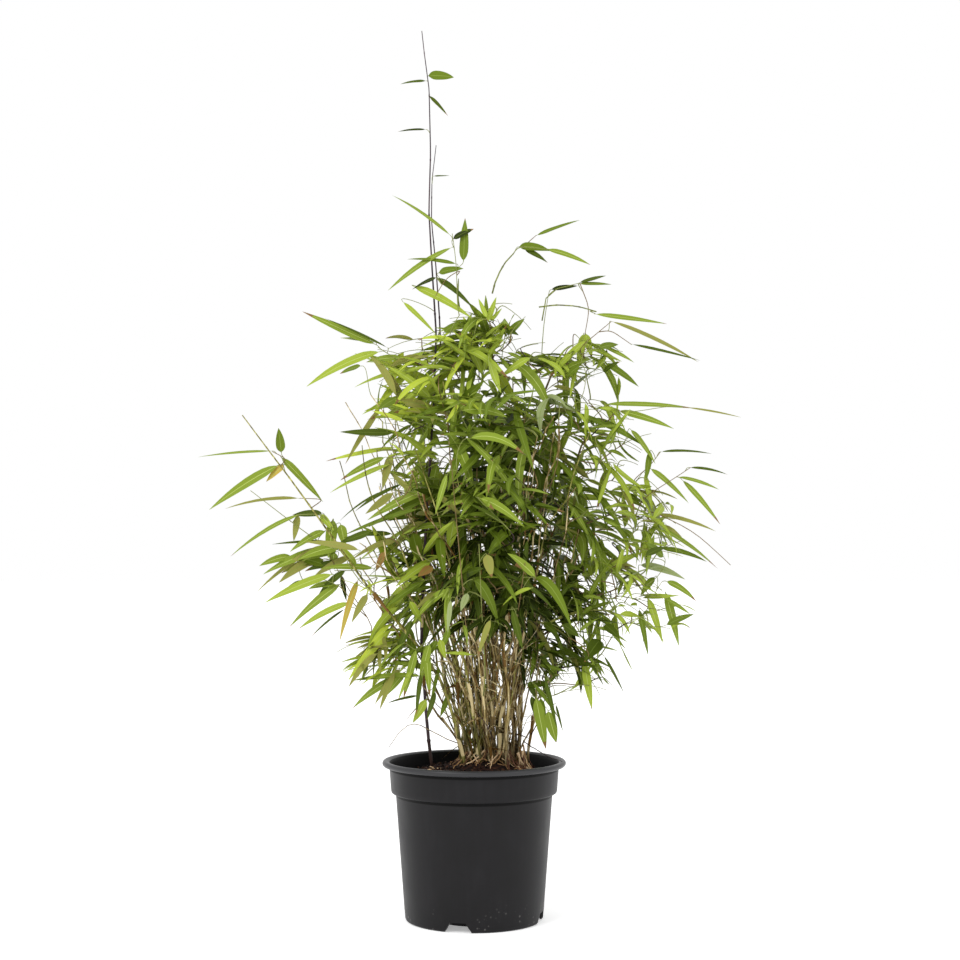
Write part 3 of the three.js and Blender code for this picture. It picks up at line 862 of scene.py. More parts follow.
for _ in range(RHIZOMES):
    turn = root_rng.uniform(0, 2 * math.pi)
    out = CLUMP_HALF * [math.cos(turn), math.sin(turn), 0]
    foot = CLUMP_CENTRE + out * root_rng.uniform(0.6, 1.05)
    run = np.array([math.cos(turn + 0.8), math.sin(turn + 0.8), 0]) * root_rng.uniform(7, 14) * MM
    low, high = UP * 150 * MM, UP * 157 * MM
    line = bezier(foot + low, foot + high, foot + run + high, foot + run + low, 10)
    rings = 1 + 0.16 * np.cos(np.arange(10) * math.pi)
    root_parts.append((*tube(line, root_rng.uniform(1.3, 2.1) * MM * rings, 8), 2))
# A forked pale stub stands beside the tall culm's foot.
for lean in ((-9, -3, 2), (-5, -5, 6), (6, -2, 4)):
    foot = np.array([-40, -10, 151.5]) * MM
    prong = np.array(lean) * MM
    line = bezier(foot, foot + UP * 3 * MM, foot + prong * 0.6 + UP * 2 * MM, foot + prong, 7)
    root_parts.append((*tube(line, np.linspace(1.3, 0.5, 7) * MM, 7), 0))
root_points, root_faces, root_slots = joined(root_parts)
roots = make_piece("roots_and_rhizomes", root_points, root_faces, root_kinds, root_slots)


# ---- Boughs, twigs and leaves -----------------------------------------------------------------
# From the joints of the culms, side shoots branch again and again and end in flat fans of three
# to six leaves. A leaf is a thin parchment blade, folded along its rib, that arches over to a
# fine point.

MASSES = sorted(
    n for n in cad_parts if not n.startswith("culm_") and n not in (*STEMS, "pot", "soil")
)
mass_trees = {}
for node in MASSES:
    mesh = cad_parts[node].data
    mass_trees[node] = BVHTree.FromPolygons(
        [v.co for v in mesh.vertices], [p.vertices for p in mesh.polygons]
    )


OUTLYING = {
    "left_spray_high", "left_spray_middle", "left_spray_low", "left_shoulder",
    "left_middle_leaves", "left_low_leaves", "tuft", "tip_leaves", "arching_leaves",
    "high_right_leaves", "right_shoulder", "right_long_leaves", "right_side_leaves",
    "right_low_leaves", "right_hanging_leaves",
}
CROWN = sorted((n for n in MASSES if n not in OUTLYING), key=lambda n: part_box(n)[0].z)
PROBE = Vector((0.31, 0.12, 0.94)).normalized()
mass_boxes = {node: [np.array(v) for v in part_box(node)] for node in MASSES}
FAR = 30 * MM  # a point this far outside a mass isn't measured more closely
LEEWAY = 6 * MM  # how far leaves may reach past the frame's box
low_limit = np.array(cad_box[0]) - LEEWAY
high_limit = np.array(cad_box[1]) + LEEWAY


def depth_in(node, point):
    """How deep a point lies in a mass: positive inside, negative outside."""
    low, high = mass_boxes[node]
    if (point < low - FAR).any() or (point > high + FAR).any():
        return -FAR
    tree = mass_trees[node]
    distance = tree.find_nearest(Vector(point))[3]
    crossings, start = 0, Vector(point)
    while True:
        hit = tree.ray_cast(start, PROBE)[0]
        if hit is None:
            break
        crossings += 1
        start = hit + PROBE * 1e-5
    return distance if crossings % 2 else -distance


# Sky shows through the crown, and notches its edge, here: x, z and radius in millimetres, seen
# from the front.
OPENINGS = np.array([
    (38, 631, 13), (59, 612, 14), (80, 610, 14), (101, 592, 12), (-50, 604, 7), (64, 588, 12),
    (84, 590, 11), (101, 572, 7), (144, 608, 14), (122, 546, 11), (142, 540, 9), (163, 501, 14),
    (163, 478, 13), (164, 546, 11), (40, 588, 12), (-88, 588, 12), (80, 546, 11), (122, 524, 8),
    (-128, 276, 9), (101, 252, 8), (122, 453, 8), (60, 526, 6), (38, 463, 6), (92, 505, 6),
    (143, 441, 9), (164, 399, 10), (208, 352, 20), (206, 334, 14), (188, 311, 16), (162, 314, 8),
    (158, 332, 8), (172, 272, 18), (165, 250, 16), (146, 258, 13), (142, 236, 17),
    (100, 232, 16), (205, 410, 10), (118, 420, 6), (60, 392, 5), (112, 475, 6), (-110, 315, 15),
    (-126, 356, 9), (-109, 357, 8), (-67, 590, 8), (-109, 550, 9), (210, 357, 16),
    (-106, 440, 12), (-108, 567, 9), (-90, 338, 7), (-88, 503, 9), (-67, 505, 7), (-67, 461, 4),
    (-88, 441, 11), (-88, 399, 10), (-92, 470, 8), (-118, 400, 8), (143, 482, 6), (-67, 483, 5),
    (-88, 420, 9), (186, 357, 9), (143, 336, 8), (164, 462, 13), (101, 483, 8),
]) * MM


def in_opening(point):
    """Whether a point lies in one of the openings."""
    off = OPENINGS[:, :2] - point[[0, 2]]
    return (np.hypot(off[:, 0], off[:, 1]) < OPENINGS[:, 2]).any()


def depth_in_crown(point):
    """The same for the crown's masses together, without the outlying ones."""
    return max(depth_in(node, point) for node in CROWN)


# Blades: stations from the stalk to the point, each with its share of the full width.
BLADE_STATIONS = np.array([0, 0.03, 0.06, 0.12, 0.21, 0.32, 0.45, 0.59, 0.73, 0.86, 0.95, 1])
BLADE_WIDTHS = np.array([0.09, 0.09, 0.36, 0.7, 0.94, 1, 0.96, 0.84, 0.64, 0.37, 0.15, 0.02])
BLADE_ACROSS = np.array([-1, -0.5, -0.06, 0.06, 0.5, 1])
RIB_STRIP = 2


def arching_spines(base, aim, length, droop, swerve):
    """Centrelines of blades that leave their bases along aim and bend over with their weight."""
    course, here, spines = unit(aim), base.copy(), [base.copy()]
    sideways = unit(np.cross(course, UP))
    for share, before in zip(BLADE_STATIONS[1:], BLADE_STATIONS):
        step = share - before
        down = unit(-UP - course * (course @ -UP)[:, None])
        course = unit(course + (down * droop[:, None] + sideways * swerve[:, None]) * step)
        here = here + course * (length * step)[:, None]
        spines.append(here.copy())
    return np.stack(spines, 1)


def spanning_spines(base, tip, arch):
    """Centrelines of blades from base to tip, arched upwards by arch metres."""
    t = BLADE_STATIONS[None, :, None]
    middle = (base + tip) / 2 + UP * arch[:, None] * 2
    return (
        base[:, None] * (1 - t) ** 2 + middle[:, None] * 2 * t * (1 - t) + tip[:, None] * t * t
    )


def blade_points(spines, facing, width, fold, twist):
    """Points of blades, (blade, station, across, xyz), whose upper sides look along facing."""
    course = unit(np.gradient(spines, axis=1))
    side = unit(np.cross(course, facing[:, None]))
    upper = np.cross(side, course)
    turn = twist[:, None, None] * (BLADE_STATIONS[None, :, None] - 0.3)
    side, upper = (
        side * np.cos(turn) + upper * np.sin(turn),
        upper * np.cos(turn) - side * np.sin(turn),
    )
    half = width[:, None] * BLADE_WIDTHS / 2
    across = half[:, :, None] * BLADE_ACROSS
    raised = fold[:, None, None] * np.abs(across)
    ripple = 0.06 * half[:, :, None] * np.sin(
        9 * BLADE_STATIONS[None, :, None] + 40 * twist[:, None, None] + 2 * BLADE_ACROSS
    )
    lift = raised + ripple * np.abs(BLADE_ACROSS)
    return (
        spines[:, :, None]
        + side[:, :, None] * across[..., None]
        + upper[:, :, None] * lift[..., None]
    )


def leaf_material(name, colour, roughness=0.5):
    """A leaf blade: plain green with fine parallel veins and a soft uneven gloss."""
    material, tree, shader = new_material(name, colour, roughness, 1.42, 0.14)
    place = add_node(tree, "ShaderNodeUVMap", {"uv_map": "blade"})
    veins = add_node(
        tree,
        "ShaderNodeTexNoise",
        {"Scale": 1 / 0.7, "Detail": 2.0},
        {"Vector": stretched(tree, place.outputs["UV"], (1.0, 0.02, 1.0))},
    ).outputs["Fac"]  # the map is in millimetres, and the veins are 0.7 mm apart so that they show
    add_relief(tree, shader, veins, 0.5, 0.12)
    gloss = remapped(tree, veins, (0.3, 0.7), (roughness - 0.07, roughness + 0.07))
    tree.links.new(gloss, shader.inputs["Roughness"])
    return material


# Living blades run from lime to a dull dark green, with a matt grey green where they show their
# undersides, which is also dealt as a painted highlight. The blades differ in colour, and the kinds
# are also dealt as painted light and shade: light ones at the crown's edges, dull dark ones inside it.
# A few have yellowed or dried to orange brown.
LEAF_KINDS = {
    "lime": "#aab93c",
    "fresh": "#91a236",
    "grass": "#788a2c",
    "green": "#5f711c",
    "deep": "#435210",
    "dark": "#283305",
    "olive": "#858540",
    "grey": "#8d9866",
    "yellow": "#b09a45",
    "rust": "#9a7640",
}
RIB_KINDS = {"pale_rib": "#a9b764", "green_rib": "#7a8b3e", "dim_rib": "#5a6a26"}
leaf_materials = [leaf_material(f"{kind}_leaf_blade", c) for kind, c in LEAF_KINDS.items()]
leaf_materials += [leaf_material(f"leaf_{kind}", c) for kind, c in RIB_KINDS.items()]
leaf_materials.append(leaf_material("dry_leaf_tip", "#7a5f38", 0.7))
KIND = {kind: i for i, kind in enumerate(LEAF_KINDS)}
PALE_RIB, GREEN_RIB, DIM_RIB, DRY_TIP = (len(KIND) + k for k in range(4))


def leaf_piece(node, points, kinds, dry):
    """A mass's blades as one piece, each face in its leaf's kind, its rib's or its dry tip's."""
    count, stations, across = points.shape[:3]
    index = np.arange(count * stations * across).reshape(count, stations, across)
    faces = np.stack(
        [index[:, :-1, :-1], index[:, :-1, 1:], index[:, 1:, 1:], index[:, 1:, :-1]], -1
    )
    slots = np.repeat(kinds, (stations - 1) * (across - 1)).reshape(faces.shape[:3])
    light = np.isin(kinds, [KIND[k] for k in ("lime", "fresh", "grass", "yellow")])
    dim = np.isin(kinds, [KIND[k] for k in ("deep", "dark")])
    slots[:, :, RIB_STRIP] = np.where(light, PALE_RIB, np.where(dim, DIM_RIB, GREEN_RIB))[:, None]
    station_middle = (BLADE_STATIONS[1:] + BLADE_STATIONS[:-1]) / 2
    slots[station_middle[None, :] > dry[:, None]] = DRY_TIP
    used, slots = np.unique(slots, return_inverse=True)
    piece = make_piece(
        f"leaves_{node}",
        points.reshape(-1, 3).tolist(),
        faces.reshape(-1, 4).tolist(),
        [leaf_materials[i] for i in used],
        slots.ravel().astype(np.int32),
    )
    spines = points.mean(2)
    along = np.linalg.norm(np.diff(spines, axis=1), axis=2).cumsum(1) / MM
    v = np.concatenate([np.zeros((count, 1)), along], 1)[:, :, None]
    u = BLADE_ACROSS * 5 + 17 * np.arange(count)[:, None, None]
    flat = np.stack(np.broadcast_arrays(u, v), -1).reshape(-1, 2)
    mesh = piece.data
    corners = np.zeros(len(mesh.loops), np.int32)
    mesh.loops.foreach_get("vertex_index", corners)
    mesh.uv_layers.new(name="blade").data.foreach_set("uv", flat[corners].ravel())
    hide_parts(node)


# Twigs are thin, smooth and green to brown.
twig_kinds = [
    rough_material("green_twig", "#7b8244", 0.5, 0.8),
    rough_material("brown_twig", "#73603c", 0.6, 0.8),
    rough_material("dark_twig", "#38292a", 0.5, 0.8),
]
twigs = []


def nearest_wood(target):
    """The place on the wood grown so far that a shoot for target would leave from."""
    points = np.array([w[0] for w in wood])
    away = target - points
    distance = np.linalg.norm(away, axis=1)
    climb = np.maximum(0, -away[:, 2] + 8 * MM)
    best = int(np.argmin(distance + 1.2 * climb))
    return wood[best]


def grow_to(target, arrive, radii, rng, kind=None):
    """A shoot from the nearest wood to target, which it reaches along arrive."""
    start, course = nearest_wood(target)
    span = np.linalg.norm(target - start)
    if span < 1 * MM:
        return
    leave = unit(course * 0.8 + unit(target - start) + rng.normal(size=3) * 0.15)
    line = bezier(
        start, start + leave * span * 0.35, target - unit(arrive) * span * 0.35, target, 9
    )
    thickness = np.linspace(radii[0], radii[1], 9)
    slot = kind if kind is not None else int(rng.choice(3, p=[0.5, 0.4, 0.1]))
    twigs.append((*tube(line, thickness, 5), slot))
    add_wood(line, start=2)


HANG = 16 * MM  # how far the leaves hang below a mass
EDGE = 4 * MM  # how far their tips reach past its side


def curliness(point):
    """From 0, the flat broad blades of the left side, to 1, the curled narrow ones of the right."""
    return np.interp(point[..., 0], [0, 0.075], [0, 1])


def spray(base, axis, count, rng, leaves, kind):
    """A fan of leaves on the last centimetres of a twig. Rows go to leaves."""
    shoot = arching_spines(
        base[None], axis[None], np.array([count * 6.5 * MM]), np.array([0.4]), np.array([0.0])
    )[0]
    twigs.append((*tube(shoot[::2], np.linspace(0.42, 0.25, len(shoot[::2])) * MM, 4), 0))
    for i in range(count):
        last = i == count - 1
        at, _ = resampled(
            shoot, np.zeros(len(shoot)), np.array([length_of(shoot) * (i + 1) / count * 0.999])
        )
        side = unit(np.cross(axis, UP) + rng.normal(size=3) * 0.5) * (-1 if i % 2 else 1)
        spread = math.radians(rng.uniform(4, 20) if last else rng.uniform(20, 62))
        curl = curliness(base)
        loose = 0.18 + 0.3 * curl
        aim = unit(axis * math.cos(spread) + side * math.sin(spread) + rng.normal(size=3) * loose)
        length = rng.uniform(58, 96) * MM * (0.75 if i == 0 else 1) * (1 - 0.12 * curl)
        droop = rng.uniform(0.1, 0.8 + 0.9 * curl)
        for _ in range(6):
            tip = at[0] + unit(aim - UP * min(droop, 2) * 0.45) * length
            inside = (tip > low_limit).all() and (tip < high_limit).all()
            inside &= not any(in_opening(at[0] + (tip - at[0]) * t) for t in (0.3, 0.53, 0.77, 1))
            if inside and max(depth_in_crown(tip) + EDGE, depth_in_crown(tip + UP * HANG)) > 0:
                break
            length *= 0.86
        else:
            continue
        leaves.append((at[0], aim, length, droop, kind))


# Painted shade and light: darker kinds go to the crown's core, a little right of the clump, and to a
# hollow low on the right; lighter kinds go to its edges.
LADDER = ["lime", "fresh", "grass", "green", "deep", "dark"]
CORE_SHIFT = [8 * MM, 0, 0]  # the darkest part lies a little right of the clump
CORE_REACH = 125 * MM
HOLLOW_X, HOLLOW_Z, HOLLOW_REACH = 56 * MM, 345 * MM, 62 * MM  # shaded, low on the right


def spray_kind(point, rng):
    """Deals a leaf kind by where a spray is, as painted shade and light: dark in the core and in a
    hollow, light at the edges.
    """
    x, _, z = point
    off = (point - CLUMP_CENTRE - CORE_SHIFT) * [1, 0.45, 0]
    # Painted shade grows towards the core, at mid height and low on the right. Painted light grows to
    # the left and at the top.
    shade = 1.0 - min(np.linalg.norm(off) / CORE_REACH, 1)
    shade *= np.interp(z, [0.24, 0.28, 0.41, 0.5, 0.6], [0.8, 1.1, 1.1, 0.65, 0.05])
    shade += np.interp(x, [-0.09, -0.05, 0.02, 0.1, 0.18], [-0.24, -0.1, 0.03, 0.04, 0])
    low_right = np.interp(x, [0.03, 0.08], [0, 1]) * np.interp(z, [0.3, 0.38], [1, 0])
    shade += 0.04 * low_right
    shade += 0.4 * max(1 - np.hypot(x - HOLLOW_X, z - HOLLOW_Z) / HOLLOW_REACH, 0)
    pick = rng.random()
    if pick < 0.16 and x < -40 * MM:
        odd = "yellow" if z < 0.4 else "grass"
        return KIND[("olive", "olive", "olive", odd)[rng.integers(4)]]
    if pick < 0.2 - 0.15 * low_right and x > 60 * MM:
        return KIND[("grey", "olive", "olive", "olive")[rng.integers(4)]]
    step = (max(shade, 0) * 0.72 + rng.random() * 0.42) * len(LADDER)
    step = max(step, 1 if x > 50 * MM else 0.5)
    return KIND[LADDER[min(int(step), len(LADDER) - 1)]]


def leaves_from_rows(rows, rng):
    """Points of blades for (base, aim, length, droop, kind) rows, with their kinds and tips."""
    base, aim = (np.array([row[i] for row in rows]) for i in (0, 1))
    length, droop = (np.array([row[i] for row in rows]) for i in (2, 3))
    kinds = np.array([row[4] for row in rows])
    count = len(rows)
    out = unit((base - CLUMP_CENTRE) * [1, 1, 0])
    facing = unit(UP * 0.75 + out * 0.25 + rng.normal(size=(count, 3)) * 0.5)
    curl = curliness(base)
    spines = arching_spines(base, aim, length, droop, rng.normal(size=count) * (0.35 + 0.6 * curl))
    width = np.clip(length * rng.uniform(0.1, 0.165, count) * (1 - 0.18 * curl), 4.5 * MM, 12 * MM)
    twist = rng.normal(size=count) * (0.6 + 1.0 * curl)
    points = blade_points(spines, facing, width, rng.uniform(0.1, 0.35, count), twist)
    dry = np.where(rng.random(count) < 0.2, rng.uniform(0.86, 0.97, count), 2)
    return points, kinds, dry


SPRAY_SPACE = 25 * MM  # between neighbouring sprays
MASS_SHARE = 0.52  # of its box, that a mass fills
TRIES = 10  # places tried for each spray, of which the one furthest from the others is kept
FULLNESS = {  # how much denser or more open than that a mass is
    "crown_top": 2.7,
    "crown_top_left": 1.4,
    "upper_left": 1.2,
    "middle_left": 1.2,
    "lower_left": 1.4,
    "upper_front": 1.5,
    "middle_front": 1.6,
    "upper_back": 1.4,
    "middle_back_left": 1.6,
    "middle_back_right": 1.4,
    "lower_front": 1.3,
    "lower_middle": 1.8,
    "crown_top_right": 1.6,
    "upper_right": 1.5,
    "middle_right": 1.55,
    "lower_right": 1.6,
    "left_skirt": 2.7,
    "right_skirt": 3.5,
    "back_skirt": 1.6,
}
crown_rng = np.random.default_rng(97)
growth = []
for node in CROWN:
    low, high = mass_boxes[node]
    middle = (low + high) / 2
    out = (middle - CLUMP_CENTRE) * [1, 1, 0]
    grow_to(middle, unit(out) + UP * 0.6, (1.2 * MM, 0.8 * MM), crown_rng)
    volume = np.prod(high - low) * MASS_SHARE
    wanted = int(volume / SPRAY_SPACE**3 * 0.5 * FULLNESS.get(node, 1))
    sites = []
    for _ in range(wanted):
        best, best_gap = None, -1
        for _ in range(TRIES):
            site = low + (high - low) * crown_rng.random(3)
            if depth_in(node, site) < 4 * MM:
                continue
            gap = min((np.linalg.norm(site - s) for s in sites), default=1)
            if gap > best_gap:
                best, best_gap = site, gap
        if best is not None:
            sites.append(best)
    growth.append((node, sites))

# More sprays, at x, y and z in millimetres. Columns of them stand in front of the tall culm, which
# they hide inside the crown, and behind it, and others close gaps in the crown seen from all round.
# The last ones fill single thin places at its edges.
MORE_SPRAYS = [
    *((-46, -34, z) for z in range(256, 600, 20)),
    *((-46, 56, z) for z in range(400, 590, 16)),
    *((72, -18, z) for z in range(262, 330, 9)),
    *((100, -20, z) for z in (300, 345, 360)),
    *((78, -20, z) for z in range(440, 560, 20)),
    *((15, 20, z) for z in range(380, 510, 10)),
    *((36, 72, z) for z in range(390, 510, 14)),
    (-80, -10, 594), (-66, 4, 600), (0, -6, 626), (30, -12, 610), (118, -6, 602), (142, 0, 590),
    (168, -8, 486), (176, 4, 470), (-66, -20, 262), (-72, 2, 256), (-112, -10, 376),
]
growth[-1][1].extend(np.array(place) * MM for place in MORE_SPRAYS)

REACH = 50 * MM  # of a spray, which its site lies in the middle of
blades = {}
for node, sites in growth:
    rows = []
    sites.sort(key=lambda s: np.linalg.norm(s - nearest_wood(s)[0]))
    for site in sites:
        out = (site - CLUMP_CENTRE) * [1, 1, 0]
        rise = np.interp(site[2], [0.25, 0.4, 0.62], [-0.3, 0.05, 0.4])
        outwards = unit(out) * min(np.linalg.norm(out) / (50 * MM), 1)
        axis = unit(outwards + UP * rise + crown_rng.normal(size=3) * 0.35)
        base = site - axis * REACH * 0.5
        grow_to(base, axis, (0.75 * MM, 0.45 * MM), crown_rng)
        count = int(crown_rng.integers(3, 7))
        spray(base, axis, count, crown_rng, rows, spray_kind(site, crown_rng))
    blades[node] = [leaves_from_rows(rows, crown_rng)]


# ---- Outlying leaves --------------------------------------------------------------------------
# Beyond the crown single twigs carry a few leaves each, clear of the rest, and a few twigs and
# leaves stand out on its front. Each row is a leaf's base and tip as shares of its mass's width and
# height, with its width and arch in millimetres. A twig's points are such shares too.

PLACED_TWIGS = {
    "tuft": [[(0.83, -0.05), (0.82, 0.35), (0.77, 0.62)], [(0.9, 0.3), (0.7, 0.22), (0.58, 0.05)]],
    "arching_leaves": [[(0.03, 0.47), (0.42, 0.42)], [(0.1, 0.47), (0.27, 0.69)]],
    "high_right_leaves": [
        [(-0.18, -2.2), (-0.13, -0.84), (-0.05, 0.1)], [(0.05, 0.3), (0.48, 0.48)],
        [(0.48, 0.45), (0.65, -0.3), (0.55, -1.3)],
    ],
    "right_shoulder": [
        [(0.0, 0.88), (0.06, 0.85)], [(-0.1, 0.3), (0.2, 0.72)], [(0.2, 0.6), (0.38, 0.38)],
    ],
    "right_long_leaves": [[(-0.3, 0.3), (-0.18, 0.6)], [(-0.18, 0.6), (-0.05, 0.45)]],
    "right_side_leaves": [
        [(-0.1, 0.6), (0.1, 0.78), (0.21, 0.94)], [(0.0, 0.4), (0.3, 0.6), (0.52, 0.76)],
        [(-0.1, 0.3), (0.15, 0.2)],
    ],
    "right_low_leaves": [[(-0.1, 0.5), (0.3, 0.45)], [(0.0, 1.3), (0.6, 1.06), (1.0, 0.75)]],
    "left_spray_high": [[(0.97, 0.12), (0.8, 0.13)], [(0.7, 0.58), (0.6, 0.66)]],
    "left_spray_middle": [
        [(0.75, 0.2), (0.45, 0.65), (0.17, 1.08)], [(0.85, 0.5), (0.76, 0.7), (0.55, 0.68)],
    ],
    "left_spray_low": [
        [(1.1, 0.1), (0.85, 0.5), (0.6, 1.0)], [(0.95, 0.75), (0.7, 0.75)], [(0.9, 0.35), (0.75, 0.6)],
    ],
    "left_shoulder": [[(1.15, 0.25), (0.85, 0.5)]],
    "left_middle_leaves": [[(1.2, 0.3), (0.95, 0.6), (0.85, 1.1)]],
    "left_low_leaves": [[(1.3, 1.1), (1.25, 0.5), (1.2, 0.35)], [(1.2, 1.0), (0.9, 0.8)]],
    "right_hanging_leaves": [[(0.2, 1.15), (0.3, 0.9), (0.4, 0.75)]],
    "right_skirt": [[(0.4, 1.0), (0.6, 0.75), (0.57, 0.58)]],
    "crown_top": [[(0.1, 0.1), (0.12, 0.5), (0.2, 0.65)], [(0.3, -0.2), (0.28, 0.3), (0.36, 0.6)]],
    "lower_front": [
        [(0.28, -0.5), (0.25, 0.3), (0.2, 1.0), (0.14, 1.9)], [(0.42, -0.6), (0.38, 0.3), (0.36, 1.0)],
        [(0.62, -0.5), (0.66, 0.2), (0.72, 0.8)],
    ],
    "middle_left": [[(0.5, 0.9), (0.45, 0.6), (0.35, 0.5)]],
    "lower_left": [[(0.9, 0.6), (0.6, 0.85), (0.45, 1.05)], [(0.4, 0.2), (0.2, 0.45), (0.1, 0.7)]],
}
